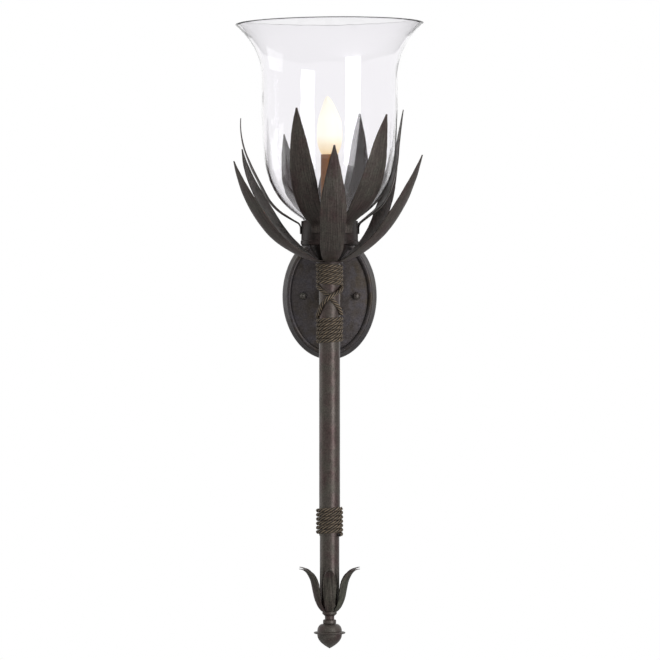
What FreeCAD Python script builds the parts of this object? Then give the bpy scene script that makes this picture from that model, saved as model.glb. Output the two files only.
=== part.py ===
import FreeCAD, Part
import math
import os

# Torch sconce: a round stem on an oval wall plate, two whorls of long leaves round a glass bell,
# a candle lamp inside it, rope bands on the stem and a small leaf-and-acorn foot.
# Millimetres. The wall is the plane y = 0 and the sconce stands out of it towards -Y; +Z is up.
# The origin is the centre of the crossbar's back face, behind the middle of the oval plate.

Vector = FreeCAD.Vector

# ---------------------------------------------------------------- general fits
FIT = 0.07              # radial clearance of a pin or thread that turns in its hole
SNUG = 0.05             # radial clearance of a piece pressed, screwed or brazed into another
REST_GAP = 0.3          # gap between two faces of pieces that move apart
SEAT_GAP = 0.05         # between a flat face and the domed plate under it

# ---------------------------------------------------------------- wall side
WALL_TO_AXIS = 139.7    # wall to the stem's axis
PLATE_W = 117.8         # oval plate across
PLATE_H = 158.2         # oval plate up and down
PLATE_WALL = 2.2        # thickness of the plate's shell
PLATE_EDGE = 5.0        # upright part of the plate's side
PLATE_EDGE_LEAN = 0.55  # how far the upright part leans in
PLATE_SLOPE_W = 4.6     # how far in the sloping side reaches, up to the rim bead
PLATE_SIDE = 15.0       # height of the sloping side, where the rim bead begins
PLATE_BEAD_TOP = 19.6   # rim bead's top, from the wall
PLATE_BEAD_W = 6.8      # rim bead across
PLATE_FIELD = 15.8      # edge of the inner field, from the wall
PLATE_CENTRE = 19.4     # middle of the inner field, from the wall
STUD_SPAN = 66.7        # from one cap nut to the other
STUD_R = 2.08
STUD_REACH = 5.6        # stud past the plate's field, into its cap nut
NUT_R = 4.3             # ball of the cap nut
NUT_NECK = 1.6          # height of the cap nut's round neck
SPOT_R = 4.9            # flat seat that is cut round each stud
STRAP_T = 1.6           # box strap, upright
STRAP_W = 16.0
BAR_T = 1.9             # stud bar, level
BAR_W = 16.0
BAR_END = 8.0           # bar past each stud
SLOT_SPAN = 79.4        # middle of the upper slot to the middle of the lower slot
SLOT_LENGTH = 17.0
SLOT_R = 2.3
STRAP_END = 4.5         # strap past the slots
RIVET_R = 3.0
RIVET_HEAD_R = 5.6
RIVET_HEAD_T = 1.1
SCREW_X = 17.0          # earth screw, from the middle of the stud bar
SCREW_R = 2.0
SCREW_HEAD_R = 3.8
SCREW_HEAD_T = 2.2
HEX_RATIO = 1.1547      # across corners to across flats
STUD_NUT_FLATS = 8.7
STUD_NUT_T = 3.1
SCREW_SLOT_W = 0.9      # slot in the earth screw's head
STAKE = 0.1             # overlap of two shapes that are joined into one piece
FIELD_SHARES = (1.0, 0.85, 0.7, 0.5, 0.3, 0.1)  # ovals that shape the domed field, as shares of it

# ---------------------------------------------------------------- arm
ARM_R = 7.95
ARM_WALL = 1.5
ARM_FLANGE_R = 15.0
ARM_FLANGE_T = 4.0
ARM_BUSH_L = 12.0
PIPE_R = 5.1            # hollow threaded nipples, outside
PIPE_BORE = 3.4
PIPE_NUT_FLATS = 14.3
PIPE_NUT_T = 3.5
PIPE_TAIL = 1.0         # nipple past its lock nut
WASHER_R = 12.0
WASHER_T = 1.3
WIRE_HOLE_R = 5.6       # hole in the stem's back, where the wires come in

# ---------------------------------------------------------------- stem
STEM_R = 12.7
STEM_WALL = 1.5
STEM_TOP = 38.6         # top of the stem above the plate's centre
STEM_UPPER_L = 330.6
LOWER_R = 11.9          # lower length of the stem
LOWER_L = 85.8
TOP_BUSH_L = 12.0
JOINER_HALF = 16.0      # joiner reaches this far into each length
BOLT_R = 2.4
BOLT_FLATS = 8.7
BOLT_HEAD_T = 3.6

# ---------------------------------------------------------------- rope
ROPE_R = 1.95
ROPE_LIFT = 0.15        # rope's underside off the stem
TOP_BAND_PITCH = 4.9
TOP_BAND_TURNS = 5
TOP_BAND_DROP = 2.2     # middle of the first turn below the stem's top
MIDDLE_BAND_PITCH = 5.0
MIDDLE_BAND_TURNS = 6
BOTTOM_BAND_PITCH = 5.2
BOTTOM_BAND_TURNS = 6
BOTTOM_BAND_RISE = 32.5  # middle of its first turn above the upper stem's foot
BOTTOM_BAND_FROM = 60   # its first turn starts here, in degrees from the front towards +X
CROSS_DROP = 38.2       # height that each crossing strand falls, from side to side
CROSS_OFFSET = 2.4      # second strand starts this far below the first one
CROSS_END = -135        # where the second strand goes over into its band, in degrees
CROSS_GAP = 0.6         # between the two strands where one rides over the other
# each crossing strand, from side to side: share of the half turn, share of the fall (and of the lift)
UNDER_STRAND = [(-0.06, 0), (0.06, 0.035), (0.22, 0.14), (0.52, 0.39), (0.78, 0.7), (0.9, 0.86)]
OVER_STRAND = [(-0.03, 0, 0.05), (0.05, 0.02, 0.1), (0.24, 0.14, 0.5), (0.49, 0.325, 1), (0.68, 0.55, 0.45),
               (0.83, 0.79, 0), (0.93, 0.92, 0), (1.045, 0.997, 0)]
ROPE_STEP = 1.0         # spacing of the points that measure the rope's least gap

# ---------------------------------------------------------------- hub and cup
RING_LIP = 3.3          # leaf ring past the stem
RING_T = 1.8
HUB_STEP = 0.5          # hub's foot inside the stem's radius
HUB_FOOT_H = 2.0
HUB_H = 20.0
HUB_R = 24.3
HUB_RIM_H = 1.6
CUP_R = 34.5
CUP_H = 29.8
CUP_WALL = 1.6
CUP_FLOOR = 2.4
CUP_FOOT_H = 5.5        # slightly fuller foot of the cup
CUP_FOOT_STEP = 0.7
CUP_CHAMFER = 1.5       # bevel round the cup's underside
GASKET_LEDGE = 1.0      # gasket past the glass, on the inside
GASKET_T = 2.0
CUP_WASHER_R = 13.5
CUP_WASHER_T = 1.5

# ---------------------------------------------------------------- glass bell
GLASS_H = 265.4
GLASS_WALL = 2.6
GLASS_NECK_GAP = 1.4    # round the glass neck, inside the cup
GLASS_BODY_R = 82.7
GLASS_FLARE = 32.2      # rim past the body
GLASS_NECK_RISE = 0.8   # neck above the cup's rim
GLASS_SHOULDER_H = 134.0
GLASS_FLARE_H = 70.7
SHOULDER_POWER = 4.5    # how quickly the shoulder swells
SHOULDER_DRAFT = 0.1    # share of the swelling that goes on at a steady rate
FLARE_POWER = 2.5
SHOULDER_BANDS = 14     # the bell is turned in narrow straight bands, so that its mesh stays light
FLARE_BANDS = 10
NECK_MITRE = 0.5        # lean of the wall's corner at the neck, in radians
LIP_FACETS = 4

# ---------------------------------------------------------------- leaves
SHEET = 1.6             # thickness of the leaves
BOW_R = 60.0            # radius of a leaf's channelled section
ROOT_GAP = 0.4
LOWER_LEAF_W = 32.6
UPPER_LEAF_W = 34.0
LOWER_ROOT_FLAT = 3.4   # part of a lower leaf that lies on the ring
UPPER_ROOT_FLAT = 6.7   # part of an upper leaf that stands against the cup
UPPER_ROOT_H = 14.1     # foot of the upper leaves above the cup's underside
# width of a leaf along its length: share of the length, share of the full width
LOWER_WIDTHS = [(0, 0.40), (0.1, 0.66), (0.2, 0.84), (0.35, 0.91), (0.53, 1), (0.65, 0.91),
                (0.77, 0.66), (0.89, 0.38), (1, 0.04)]
UPPER_WIDTHS = [(0, 0.44), (0.08, 0.53), (0.175, 0.73), (0.3, 0.93), (0.43, 1), (0.56, 0.92),
                (0.67, 0.77), (0.79, 0.58), (0.91, 0.31), (1, 0.04)]
# where along a leaf its slope is given, as shares of the length past the root
LOWER_BENDS = (0.05, 0.25, 0.5, 0.75, 1.0)
UPPER_BENDS = (0.085, 0.2, 0.4, 0.7, 1.0)
# each leaf is bent by hand: direction from the front towards +X, length, slopes from level
LOWER_LEAVES = {
    "front": (3, 180.5, (16, 38, 61, 77, 76)),
    "front_right": (64, 177.0, (21, 36, 54, 64, 69)),
    "back_right": (124, 176.0, (24, 42, 66, 76, 79)),
    "back": (182, 178.0, (22, 38, 58, 70, 74)),
    "back_left": (-116, 183.0, (29, 41, 55, 64, 80)),
    "front_left": (-60, 178.5, (16, 28, 50, 61, 71)),
}
# an upper leaf also says how far it stands off the glass at STAND_OFF_AT of its length
STAND_OFF_AT = 0.7
UPPER_LEAVES = {
    "front_right": (36, 168.0, (33, 35, 54, 75, 69), 17.6),
    "right": (99, 168.5, (39, 37, 71, 86, 80), 2.0),
    "back_right": (154, 168.0, (31, 41, 66, 90, 88), 2.6),
    "back_left": (-152, 166.5, (29, 20, 40, 70, 80), 30.5),
    "left": (-90, 167.0, (28, 32, 61, 68, 94), 17.3),
    "front_left": (-24.5, 167.0, (24, 48, 66, 78, 86), 5.5),
}

# ---------------------------------------------------------------- lampholder, sleeve and lamp
SLEEVE_R = 10.75
SLEEVE_WALL = 0.8
SLEEVE_L = 106.7
HOLDER_R = 9.3
HOLDER_L = 34.0
HOLDER_RECESS = 4.0     # holder's top below the sleeve's top
HOLDER_BORE_DEPTH = 24.0
CAP_R = 5.95            # lamp's screw cap
CAP_WALL = 0.5
CAP_L = 19.0
CAP_SOLE = 2.7          # insulator and centre contact under the cap
SHELL_WALL = 0.55       # holder's screw shell
SHELL_DROP = 0.6        # shell's top below the holder's top
TONGUE_T = 0.5
TONGUE_RISE = 2.4
TONGUE_W = 3.0
LEG_W = 7.0
LEG_T = 1.2
LEG_RING = 2.6          # leg's foot round the nipple
ENVELOPE_WALL = 0.9
LAMP_R = 15.4           # widest part of the envelope
LAMP_H = 71.8           # envelope above the sleeve
TIP_LEAN = 2.7          # tip of the flame, to the left
SHELL_GAP = 0.08        # between the lamp's cap and the holder's shell
CONTACT_R = 2.6         # lamp's centre contact
CONTACT_T = 0.7
ENVELOPE_FOOT = 4.0     # envelope's neck inside the cap
NECK_STEP = 0.35        # envelope widens this much just over the cap
HOLLOW_FOOT = 3.0       # envelope's hollow starts this far below the cap's top
ENVELOPE_LEAST_R = 0.25  # smallest ring of the envelope
MOUNT_R = 2.2
MOUNT_H = 22.0
FILAMENT_R = 0.35
FILAMENT_SPAN = 7.0
FILAMENT_RISE = 12.0    # filament above its mount
FILAMENT_ROOT = 2.0     # its wires start this far down inside the mount

# ---------------------------------------------------------------- foot of the stem
FOOT_LEAF_L = 65.0
FOOT_LEAF_W = 16.0
FOOT_LEAF_T = 2.0
FOOT_TIP_T = 0.8        # the small leaves thin out to their tips
FOOT_BOW_R = 14.0
FOOT_LEAVES = 6
FOOT_ROOT_R = 9.4
FOOT_ROOT_DROP = 5.6    # foot of the small leaves below the stem's end
FOOT_WIDTHS = [(0, 0.56), (0.12, 0.66), (0.3, 0.86), (0.52, 1), (0.7, 0.84), (0.86, 0.46), (1, 0.07)]
FOOT_BENDS = [(0, 40), (0.14, 62), (0.33, 76), (0.56, 76), (0.75, 54), (0.88, 28), (1, 2)]
PLUG_H = 9.0            # turned cup inside the stem's end
COLLAR_R = 8.8
COLLAR_DROP = 7.0       # collar's top below the stem's end
COLLAR_H = 2.4
COLLAR_TAPER = 2.8
NECK_R = 5.7
NECK_H = 4.4
SPOOL_R = 8.0
SPOOL_EDGE = 0.6        # rounding of the spool's edges
SPOOL_H = 4.8
ACORN_R = 15.0
ACORN_TOP_R = 8.6
ACORN_TOP_H = 9.0       # acorn above its ring
ACORN_RING_R = 19.2
ACORN_RING_T = 3.4
ACORN_TIP_H = 20.8      # acorn's tip below the top of its ring
ACORN_POWER = 2.2       # how full the acorn stays towards its tip
ACORN_BORE_DEPTH = 15.0

# ---------------------------------------------------------------- wires
WIRE_R = 1.05
WIRE_SPREAD = 1.3       # line and neutral either side of the middle
WIRE_HIGH = 0.75
WIRE_LOW = 1.5
WIRE_BEND = 9.0         # turn from the arm up into the stem
LEAD_PLANE = 7.4        # leads lie in the plate's hollow, this far from the wall
TERMINAL_X = 5.2        # terminals under the lampholder
LEAD_END = (24.0, 46.0)     # cut end of a supply lead: across and up
LEAD_TURN = (15.0, 26.0)    # where the lead turns in towards the arm
LEAD_RADIUS = 20.0      # bend of a lead in the plate's hollow
ARM_RADIUS = 4.2        # bend into the arm
HOLDER_RADIUS = 40.0    # easy bends up to the holder's terminals
SPREAD_RISE = 12.0      # wires part this far above the top nipple
SPREAD_L = 28.0         # and part over this height
EARTH_DROPS = (1.0, 14.0, 20.0)     # earth wire's start and two turns, below the plate's middle
EARTH_STEP = (13.0, 22.0)           # where it steps out towards the stem's front wall
EARTH_MARGIN = 3.4                  # its middle stays this far from the stem's bore
EARTH_RADII = [5.0, 7.0, 3.2, 3.2]  # its bends in the plate's hollow and in the stem


# ---------------------------------------------------------------- derived places
def stack():
    """Heights of everything that stands on the stem's top, from the bottom up."""
    z = {}
    z["ring"] = STEM_TOP
    z["hub"] = z["ring"] + RING_T
    z["cup"] = z["hub"] + HUB_H
    z["floor"] = z["cup"] + CUP_FLOOR
    z["rim"] = z["cup"] + CUP_H
    z["glass"] = z["floor"] + GASKET_T + REST_GAP
    z["foot"] = z["floor"] + CUP_WASHER_T
    z["nut"] = z["foot"] + LEG_T
    z["pipe"] = z["nut"] + PIPE_NUT_T + PIPE_TAIL
    z["sleeve"] = z["foot"] + SLEEVE_L
    z["holder"] = z["sleeve"] - HOLDER_RECESS
    z["stem_foot"] = STEM_TOP - STEM_UPPER_L
    z["end"] = z["stem_foot"] - LOWER_L
    z["collar"] = z["end"] - COLLAR_DROP
    z["neck"] = z["collar"] - COLLAR_H - COLLAR_TAPER
    z["spool"] = z["neck"] - NECK_H
    z["acorn"] = z["spool"] - SPOOL_H - REST_GAP
    z["acorn_ring"] = z["acorn"] - ACORN_TOP_H
    return z


Z = stack()
cup_inner_r = CUP_R - CUP_WALL
glass_neck_r = cup_inner_r - GLASS_NECK_GAP
arm_bore = ARM_R - ARM_WALL
stem_bore = STEM_R - STEM_WALL
lower_bore = LOWER_R - STEM_WALL
rope_path_r = STEM_R + ROPE_R + ROPE_LIFT
shell_bore = CAP_R + SHELL_GAP
field_inset = PLATE_SLOPE_W + PLATE_BEAD_W
shell_r = shell_bore + SHELL_WALL


# ---------------------------------------------------------------- small tools
def save(name, shape, on_stem=True):
    """Write one piece. A piece drawn round the stem's axis is first moved out from the wall."""
    if on_stem:
        shape = shape.copy()
        shape.translate(Vector(0, -WALL_TO_AXIS, 0))
    shape.exportStep("parts/" + name + ".step")
    print(name, "solids", len(shape.Solids), "volume", round(shape.Volume, 1), "valid", shape.isValid())


def rod(radius, low, high, x=0, y=0):
    return Part.makeCylinder(radius, high - low, Vector(x, y, low))


def tube(radius, bore, low, high):
    return rod(radius, low, high).cut(rod(bore, low - 1, high + 1))


def wall_rod(radius, near, far, x=0, z=0):
    """Cylinder along Y, from one distance off the wall to another."""
    return Part.makeCylinder(radius, far - near, Vector(x, -near, z), Vector(0, -1, 0))


def turned(points):
    """Solid turned round the stem's axis from (radius, height) points."""
    corners = [Vector(r, 0, z) for r, z in points]
    return revolved([Part.makePolygon(corners + [corners[0]])])


def revolved(edges):
    """Solid turned round the stem's axis from a closed outline of edges or wires."""
    return Part.Face(Part.Wire(edges)).revolve(Vector(0, 0, 0), Vector(0, 0, 1), 360)


def straight(*points):
    """Straight edges through (radius, height) points."""
    corners = [Vector(r, 0, z) for r, z in points]
    return [Part.LineSegment(a, b).toShape() for a, b in zip(corners, corners[1:])]


def smooth_line(points):
    """Smooth edge through (radius, height) points."""
    curve = Part.BSplineCurve()
    curve.interpolate([Vector(r, 0, z) for r, z in points])
    return curve.toShape()


def hexagon(flats, low, high):
    """Hexagonal prism on the stem's axis."""
    corner = flats * HEX_RATIO / 2
    points = [Vector(corner * math.cos(math.radians(60 * k)), corner * math.sin(math.radians(60 * k)), low)
              for k in range(7)]
    return Part.Face(Part.makePolygon(points)).extrude(Vector(0, 0, high - low))


def wall_hexagon(flats, near, far, x=0):
    """Hexagonal prism along Y, between two distances off the wall."""
    prism = hexagon(flats, near, far)
    prism.rotate(Vector(0, 0, 0), Vector(1, 0, 0), 90)
    prism.translate(Vector(x, 0, 0))
    return prism


def between(table, share):
    """Value of a (share, value) table at a share, straight between its points."""
    for (a, low), (b, high) in zip(table, table[1:]):
        if share <= b:
            return low + (high - low) * (share - a) / (b - a)
    return table[-1][1]


# ---------------------------------------------------------------- wall plate and crossbar
def oval(inset, depth, share=1.0):
    """Oval wire at a distance off the wall: set in from the plate's outline, then shrunk."""
    half_w = (PLATE_W / 2 - inset) * share
    half_h = (PLATE_H / 2 - inset) * share
    centre = Vector(0, -depth, 0)
    curve = Part.Ellipse(centre + Vector(0, 0, half_h), centre + Vector(half_w, 0, 0), centre)
    return Part.Wire([curve.toShape()])


def dome(share):
    """Height of the plate's inner field at a share of its half-width."""
    return PLATE_FIELD + (PLATE_CENTRE - PLATE_FIELD) * (1 - share ** 2)


def field_height(x):
    """Height of the inner field on the plate's level middle line."""
    return dome(abs(x) / (PLATE_W / 2 - field_inset))


def backplate():
    rings = [oval(0, 0), oval(PLATE_EDGE_LEAN, PLATE_EDGE), oval(PLATE_SLOPE_W, PLATE_SIDE)]
    for k in range(1, 9):
        turn = math.radians(180 * k / 9)
        inner_side = PLATE_SIDE if k < 5 else PLATE_FIELD
        depth = inner_side + (PLATE_BEAD_TOP - inner_side) * math.sin(turn)
        rings.append(oval(PLATE_SLOPE_W + PLATE_BEAD_W / 2 * (1 - math.cos(turn)), depth))
    rings += [oval(field_inset, dome(share), share) for share in FIELD_SHARES]
    hollow_rings = [oval(PLATE_WALL, -1), oval(PLATE_WALL + PLATE_EDGE_LEAN, PLATE_EDGE),
                    oval(PLATE_WALL + PLATE_SLOPE_W, PLATE_SIDE - PLATE_WALL)]
    hollow_rings += [oval(field_inset, dome(share) - PLATE_WALL, share) for share in FIELD_SHARES]
    plate = Part.makeLoft(rings, True, True).cut(Part.makeLoft(hollow_rings, True, True))
    for x in (-STUD_SPAN / 2, STUD_SPAN / 2):
        plate = plate.cut(wall_rod(STUD_R + REST_GAP, 0, PLATE_BEAD_TOP, x))
        plate = plate.cut(wall_rod(SPOT_R, spot_height(), PLATE_BEAD_TOP + 1, x))
    return plate.cut(wall_rod(PIPE_R + SNUG, 0, PLATE_BEAD_TOP + 1))


def spot_height():
    """Height of the flat seat under each cap nut: the lowest point of the field round the stud."""
    return field_height(STUD_SPAN / 2 + SPOT_R) - SEAT_GAP


def box_strap():
    length = SLOT_SPAN + SLOT_LENGTH + 2 * STRAP_END
    strap = Part.makeBox(STRAP_W, STRAP_T, length, Vector(-STRAP_W / 2, -STRAP_T, -length / 2))
    run = SLOT_LENGTH - 2 * SLOT_R
    for side in (-1, 1):
        middle = side * SLOT_SPAN / 2
        slot = Part.makeBox(2 * SLOT_R, STRAP_T + 2, run, Vector(-SLOT_R, -STRAP_T - 1, middle - run / 2))
        for end in (-run / 2, run / 2):
            slot = slot.fuse(wall_rod(SLOT_R, -1, STRAP_T + 1, 0, middle + end))
        strap = strap.cut(slot)
    return strap.cut(wall_rod(RIVET_R + SNUG, -1, STRAP_T + 1))


def stud_bar():
    """Level bar with the stud and screw holes; its middle stake is riveted through the strap."""
    length = STUD_SPAN + 2 * BAR_END
    front = STRAP_T + BAR_T
    bar = Part.makeBox(length, BAR_T, BAR_W, Vector(-length / 2, -front, -BAR_W / 2))
    for x, radius in [(-STUD_SPAN / 2, STUD_R), (STUD_SPAN / 2, STUD_R), (SCREW_X, SCREW_R)]:
        bar = bar.cut(wall_rod(radius + SNUG, 0, front + 1, x))
    stake = wall_rod(RIVET_R, 0, STRAP_T + STAKE)
    return bar.fuse(stake).fuse(wall_rod(RIVET_HEAD_R, front - STAKE, front + RIVET_HEAD_T))


def earth_screw():
    front = STRAP_T + BAR_T
    screw = wall_rod(SCREW_R, STRAP_T, front, SCREW_X)
    head = wall_rod(SCREW_HEAD_R, front, front + SCREW_HEAD_T, SCREW_X)
    slot = Part.makeBox(2 * SCREW_HEAD_R, SCREW_HEAD_T / 2, SCREW_SLOT_W,
                        Vector(SCREW_X - SCREW_HEAD_R, -front - SCREW_HEAD_T, -SCREW_SLOT_W / 2))
    return screw.fuse(head).cut(slot)


def plate_studs():
    """Two threaded studs, each with its lock nut screwed fast against the bar."""
    front = STRAP_T + BAR_T
    tip = spot_height() + STUD_REACH
    studs = []
    for x in (-STUD_SPAN / 2, STUD_SPAN / 2):
        nut = wall_hexagon(STUD_NUT_FLATS, front, front + STUD_NUT_T, x)
        studs.append(wall_rod(STUD_R, STRAP_T, tip, x).fuse(nut))
    return Part.makeCompound(studs)


def cap_nut(x):
    """Round cap nut on one stud: a short neck with a ball on it."""
    base = spot_height() + REST_GAP
    centre = base + NUT_NECK + NUT_R * 0.75
    ball = Part.makeSphere(NUT_R, Vector(x, -centre, 0))
    nut = wall_rod(NUT_R * 0.8, base, centre, x).fuse(ball)
    nut = nut.cut(wall_rod(NUT_R * 2, base - NUT_R, base, x))
    return nut.cut(wall_rod(STUD_R + FIT, base - 1, spot_height() + STUD_REACH + REST_GAP, x))


# ---------------------------------------------------------------- arm
def arm_depths():
    """Distances off the wall of the arm's pieces."""
    depth = {}
    depth["washer"] = field_height(WASHER_R) - PLATE_WALL - SEAT_GAP - WASHER_T
    depth["nut"] = depth["washer"] - PIPE_NUT_T
    depth["tail"] = depth["nut"] - PIPE_TAIL
    depth["flange"] = PLATE_CENTRE + ARM_FLANGE_T
    depth["bush"] = depth["flange"] + ARM_BUSH_L
    return depth


def arm_pieces():
    depth = arm_depths()
    stem = rod(STEM_R, -4 * ARM_R, 4 * ARM_R, 0, -WALL_TO_AXIS)
    arm = wall_rod(ARM_R, depth["flange"], WALL_TO_AXIS)
    arm = arm.cut(wall_rod(arm_bore, depth["flange"] - 1, WALL_TO_AXIS)).cut(stem)
    flange = wall_rod(ARM_FLANGE_R, PLATE_CENTRE, depth["flange"])
    flange = flange.makeFillet(ARM_FLANGE_T * 0.4, [outer_edge(flange, depth["flange"])])
    flange = flange.fuse(wall_rod(arm_bore - SNUG, depth["flange"], depth["bush"]))
    flange = flange.cut(wall_rod(PIPE_R + SNUG, PLATE_CENTRE - 1, depth["bush"] + 1))
    pipe = wall_rod(PIPE_R, depth["tail"], depth["bush"])
    pipe = pipe.cut(wall_rod(PIPE_BORE, depth["tail"] - 1, depth["bush"] + 1))
    nut = wall_hexagon(PIPE_NUT_FLATS, depth["nut"], depth["washer"])
    nut = nut.fuse(wall_rod(WASHER_R, depth["washer"], depth["washer"] + WASHER_T))
    nut = nut.cut(wall_rod(PIPE_R + SNUG, 0, PLATE_CENTRE))
    return {"arm_tube": arm, "arm_flange": flange, "arm_nipple": pipe, "arm_flange_nut": nut}


def outer_edge(disc, depth):
    """Circular edge of a disc's front face."""
    for edge in disc.Edges:
        box = edge.BoundBox
        if edge.Closed and abs(box.YMin + depth) < 0.01 and abs(box.YMax + depth) < 0.01:
            return edge


# ---------------------------------------------------------------- stem
def stem_upper():
    hole = Part.makeCylinder(WIRE_HOLE_R, STEM_R + 1, Vector(0, 0, 0), Vector(0, 1, 0))
    return tube(STEM_R, stem_bore, Z["stem_foot"], STEM_TOP).cut(hole)


def stem_joiner():
    middle = Z["stem_foot"]
    plug = rod(stem_bore - SNUG, middle, middle + JOINER_HALF)
    plug = plug.fuse(rod(lower_bore - SNUG, middle - JOINER_HALF, middle))
    return plug.cut(rod(BOLT_R + SNUG, middle - JOINER_HALF - 1, middle + JOINER_HALF + 1))


def tie_bolt():
    """Long bolt with its head on the joiner: it draws the foot up against the stem."""
    seat = Z["stem_foot"] + JOINER_HALF
    shank = rod(BOLT_R, Z["acorn"] - ACORN_BORE_DEPTH + REST_GAP, seat + STAKE)
    return shank.fuse(hexagon(BOLT_FLATS, seat, seat + BOLT_HEAD_T))


# ---------------------------------------------------------------- rope
def on_stem_surface(turn, height, lift):
    """Point of a rope's middle line: turn in degrees from the front towards +X."""
    radius = rope_path_r + lift
    return Vector(radius * math.sin(math.radians(turn)), -radius * math.cos(math.radians(turn)), height)


def arc_from(start, heading, end):
    """Arc from a point, leaving along a heading, to another point."""
    chord = end - start
    along = chord.dot(heading) / chord.Length
    side = heading - chord * (heading.dot(chord) / chord.dot(chord))
    if side.Length < 1e-6:
        return Part.LineSegment(start, end).toShape()
    half_turn = math.acos(max(-1.0, min(1.0, along)))
    rise = chord.Length / 2 * math.tan(half_turn / 2)
    middle = start + chord * 0.5 + side.normalize() * rise
    return Part.Arc(start, middle, end).toShape()


def two_arcs(start, out, end, into):
    """Two arcs that join smoothly, from a point and heading to a point and heading."""
    gap = end - start
    both = out + into
    bend = 2 * (1 - out.dot(into))
    if bend < 1e-6:
        reach = gap.Length / 2
    else:
        reach = (math.sqrt(gap.dot(both) ** 2 + bend * gap.dot(gap)) - gap.dot(both)) / bend
    middle = (start + end + (out - into) * reach) * 0.5
    heading = (end - into * reach) - (start + out * reach)
    heading.normalize()
    return [arc_from(start, out, middle), arc_from(middle, heading, end)]


def rope(nodes):
    """Rope laid on the stem: nodes are (turn, height, lift); both ends run straight."""
    points = [on_stem_surface(*node) for node in nodes]
    headings = []
    for k in range(len(nodes)):
        ahead = nodes[min(k + 1, len(nodes) - 1)]
        behind = nodes[max(k - 1, 0)]
        turn, height, lift = nodes[k]
        swing = math.radians(ahead[0] - behind[0])
        radius = rope_path_r + lift
        round_way = Vector(math.cos(math.radians(turn)), math.sin(math.radians(turn)), 0)
        outward = Vector(math.sin(math.radians(turn)), -math.cos(math.radians(turn)), 0)
        heading = round_way * (radius * swing) + outward * (ahead[2] - behind[2])
        heading += Vector(0, 0, ahead[1] - behind[1])
        headings.append(heading.normalize())
    first = points[0] - headings[0] * (2 * ROPE_R)
    last = points[-1] + headings[-1] * (2 * ROPE_R)
    edges = [Part.LineSegment(first, points[0]).toShape()]
    for k in range(len(points) - 1):
        edges += two_arcs(points[k], headings[k], points[k + 1], headings[k + 1])
    edges.append(Part.LineSegment(points[-1], last).toShape())
    path = Part.Wire(edges)
    section = Part.Wire([Part.Circle(first, headings[0], ROPE_R).toShape()])
    shell = Part.BRepOffsetAPI.MakePipeShell(path)
    shell.add(section)
    shell.build()
    shell.makeSolid()
    return shell.shape(), path


def least_gap(path):
    """Least distance between parts of one rope's surface, measured on points along its middle."""
    points = path.discretize(Distance=ROPE_STEP)
    skip = int(6 * ROPE_R / ROPE_STEP)
    nearest = min(points[i].distanceToPoint(points[j])
                  for i in range(len(points)) for j in range(i + skip, len(points), 2))
    return nearest - 2 * ROPE_R


def winding(first_turn, way, count, pitch, top):
    """Nodes of a band, a quarter turn apart: way is 1 towards +X over the front, -1 the other way."""
    steps = 4 * count
    return [(first_turn + way * 90 * k, top - pitch * k / 4, 0) for k in range(steps + 1)]


def rope_top():
    """Top band, then the strand that crosses the front from left to right."""
    top = STEM_TOP - TOP_BAND_DROP
    nodes = winding(-90, 1, TOP_BAND_TURNS, TOP_BAND_PITCH, top)
    turn, height, lift = nodes.pop()
    for share, drop in UNDER_STRAND:
        nodes.append((turn + 180 * share, height - CROSS_DROP * drop, 0))
    return rope(nodes)


def rope_middle():
    """Strand that crosses over the first one from right to left, then the middle band."""
    start = STEM_TOP - TOP_BAND_DROP - TOP_BAND_PITCH * TOP_BAND_TURNS - CROSS_OFFSET
    over = 2 * ROPE_R + CROSS_GAP
    fall = CROSS_DROP - MIDDLE_BAND_PITCH / 2
    nodes = [(90 - 180 * share, start - fall * drop, over * lift) for share, drop, lift in OVER_STRAND]
    top = start - fall - MIDDLE_BAND_PITCH / 8
    nodes += winding(CROSS_END, -1, MIDDLE_BAND_TURNS, MIDDLE_BAND_PITCH, top)
    return rope(nodes)


def rope_bottom():
    top = Z["stem_foot"] + BOTTOM_BAND_RISE
    return rope(winding(BOTTOM_BAND_FROM, -1, BOTTOM_BAND_TURNS, BOTTOM_BAND_PITCH, top))


# ---------------------------------------------------------------- leaves
def midline(root, length, bends, shares):
    """Points (radius, height, slope in radians) of a leaf's midline at shares of its length."""
    steps = 240
    radius, height = root
    found = []
    wanted = list(shares)
    for k in range(steps + 1):
        share = k / steps
        slope = math.radians(between(bends, share))
        while wanted and share >= wanted[0] - 0.5 / steps:
            found.append((radius, height, slope))
            wanted.pop(0)
        radius += math.cos(slope) * length / steps
        height += math.sin(slope) * length / steps
    return found


def blade(stations, widths, sheets, bow_r, direction):
    """Leaf lofted through bowed sections that stand square to its midline; sheets are their thicknesses."""
    a = math.radians(direction)
    out = Vector(math.sin(a), -math.cos(a), 0)
    across = Vector(math.cos(a), math.sin(a), 0)
    sections = []
    for (radius, height, slope), width, thickness in zip(stations, widths, sheets):
        inward = out * -math.sin(slope) + Vector(0, 0, math.cos(slope))
        middle = out * radius + Vector(0, 0, height)
        rise = width ** 2 / (8 * bow_r)
        corners = []
        for level in (-thickness / 2, thickness / 2):
            left = middle + across * (-width / 2) + inward * (level + rise)
            right = middle + across * (width / 2) + inward * (level + rise)
            corners.append((left, middle + inward * level, right))
        (a0, a1, a2), (b0, b1, b2) = corners
        edges = [Part.Arc(a0, a1, a2).toShape(), Part.LineSegment(a2, b2).toShape(),
                 Part.Arc(b2, b1, b0).toShape(), Part.LineSegment(b0, a0).toShape()]
        sections.append(Part.Wire(edges))
    return Part.makeLoft(sections, True, False)


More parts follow.
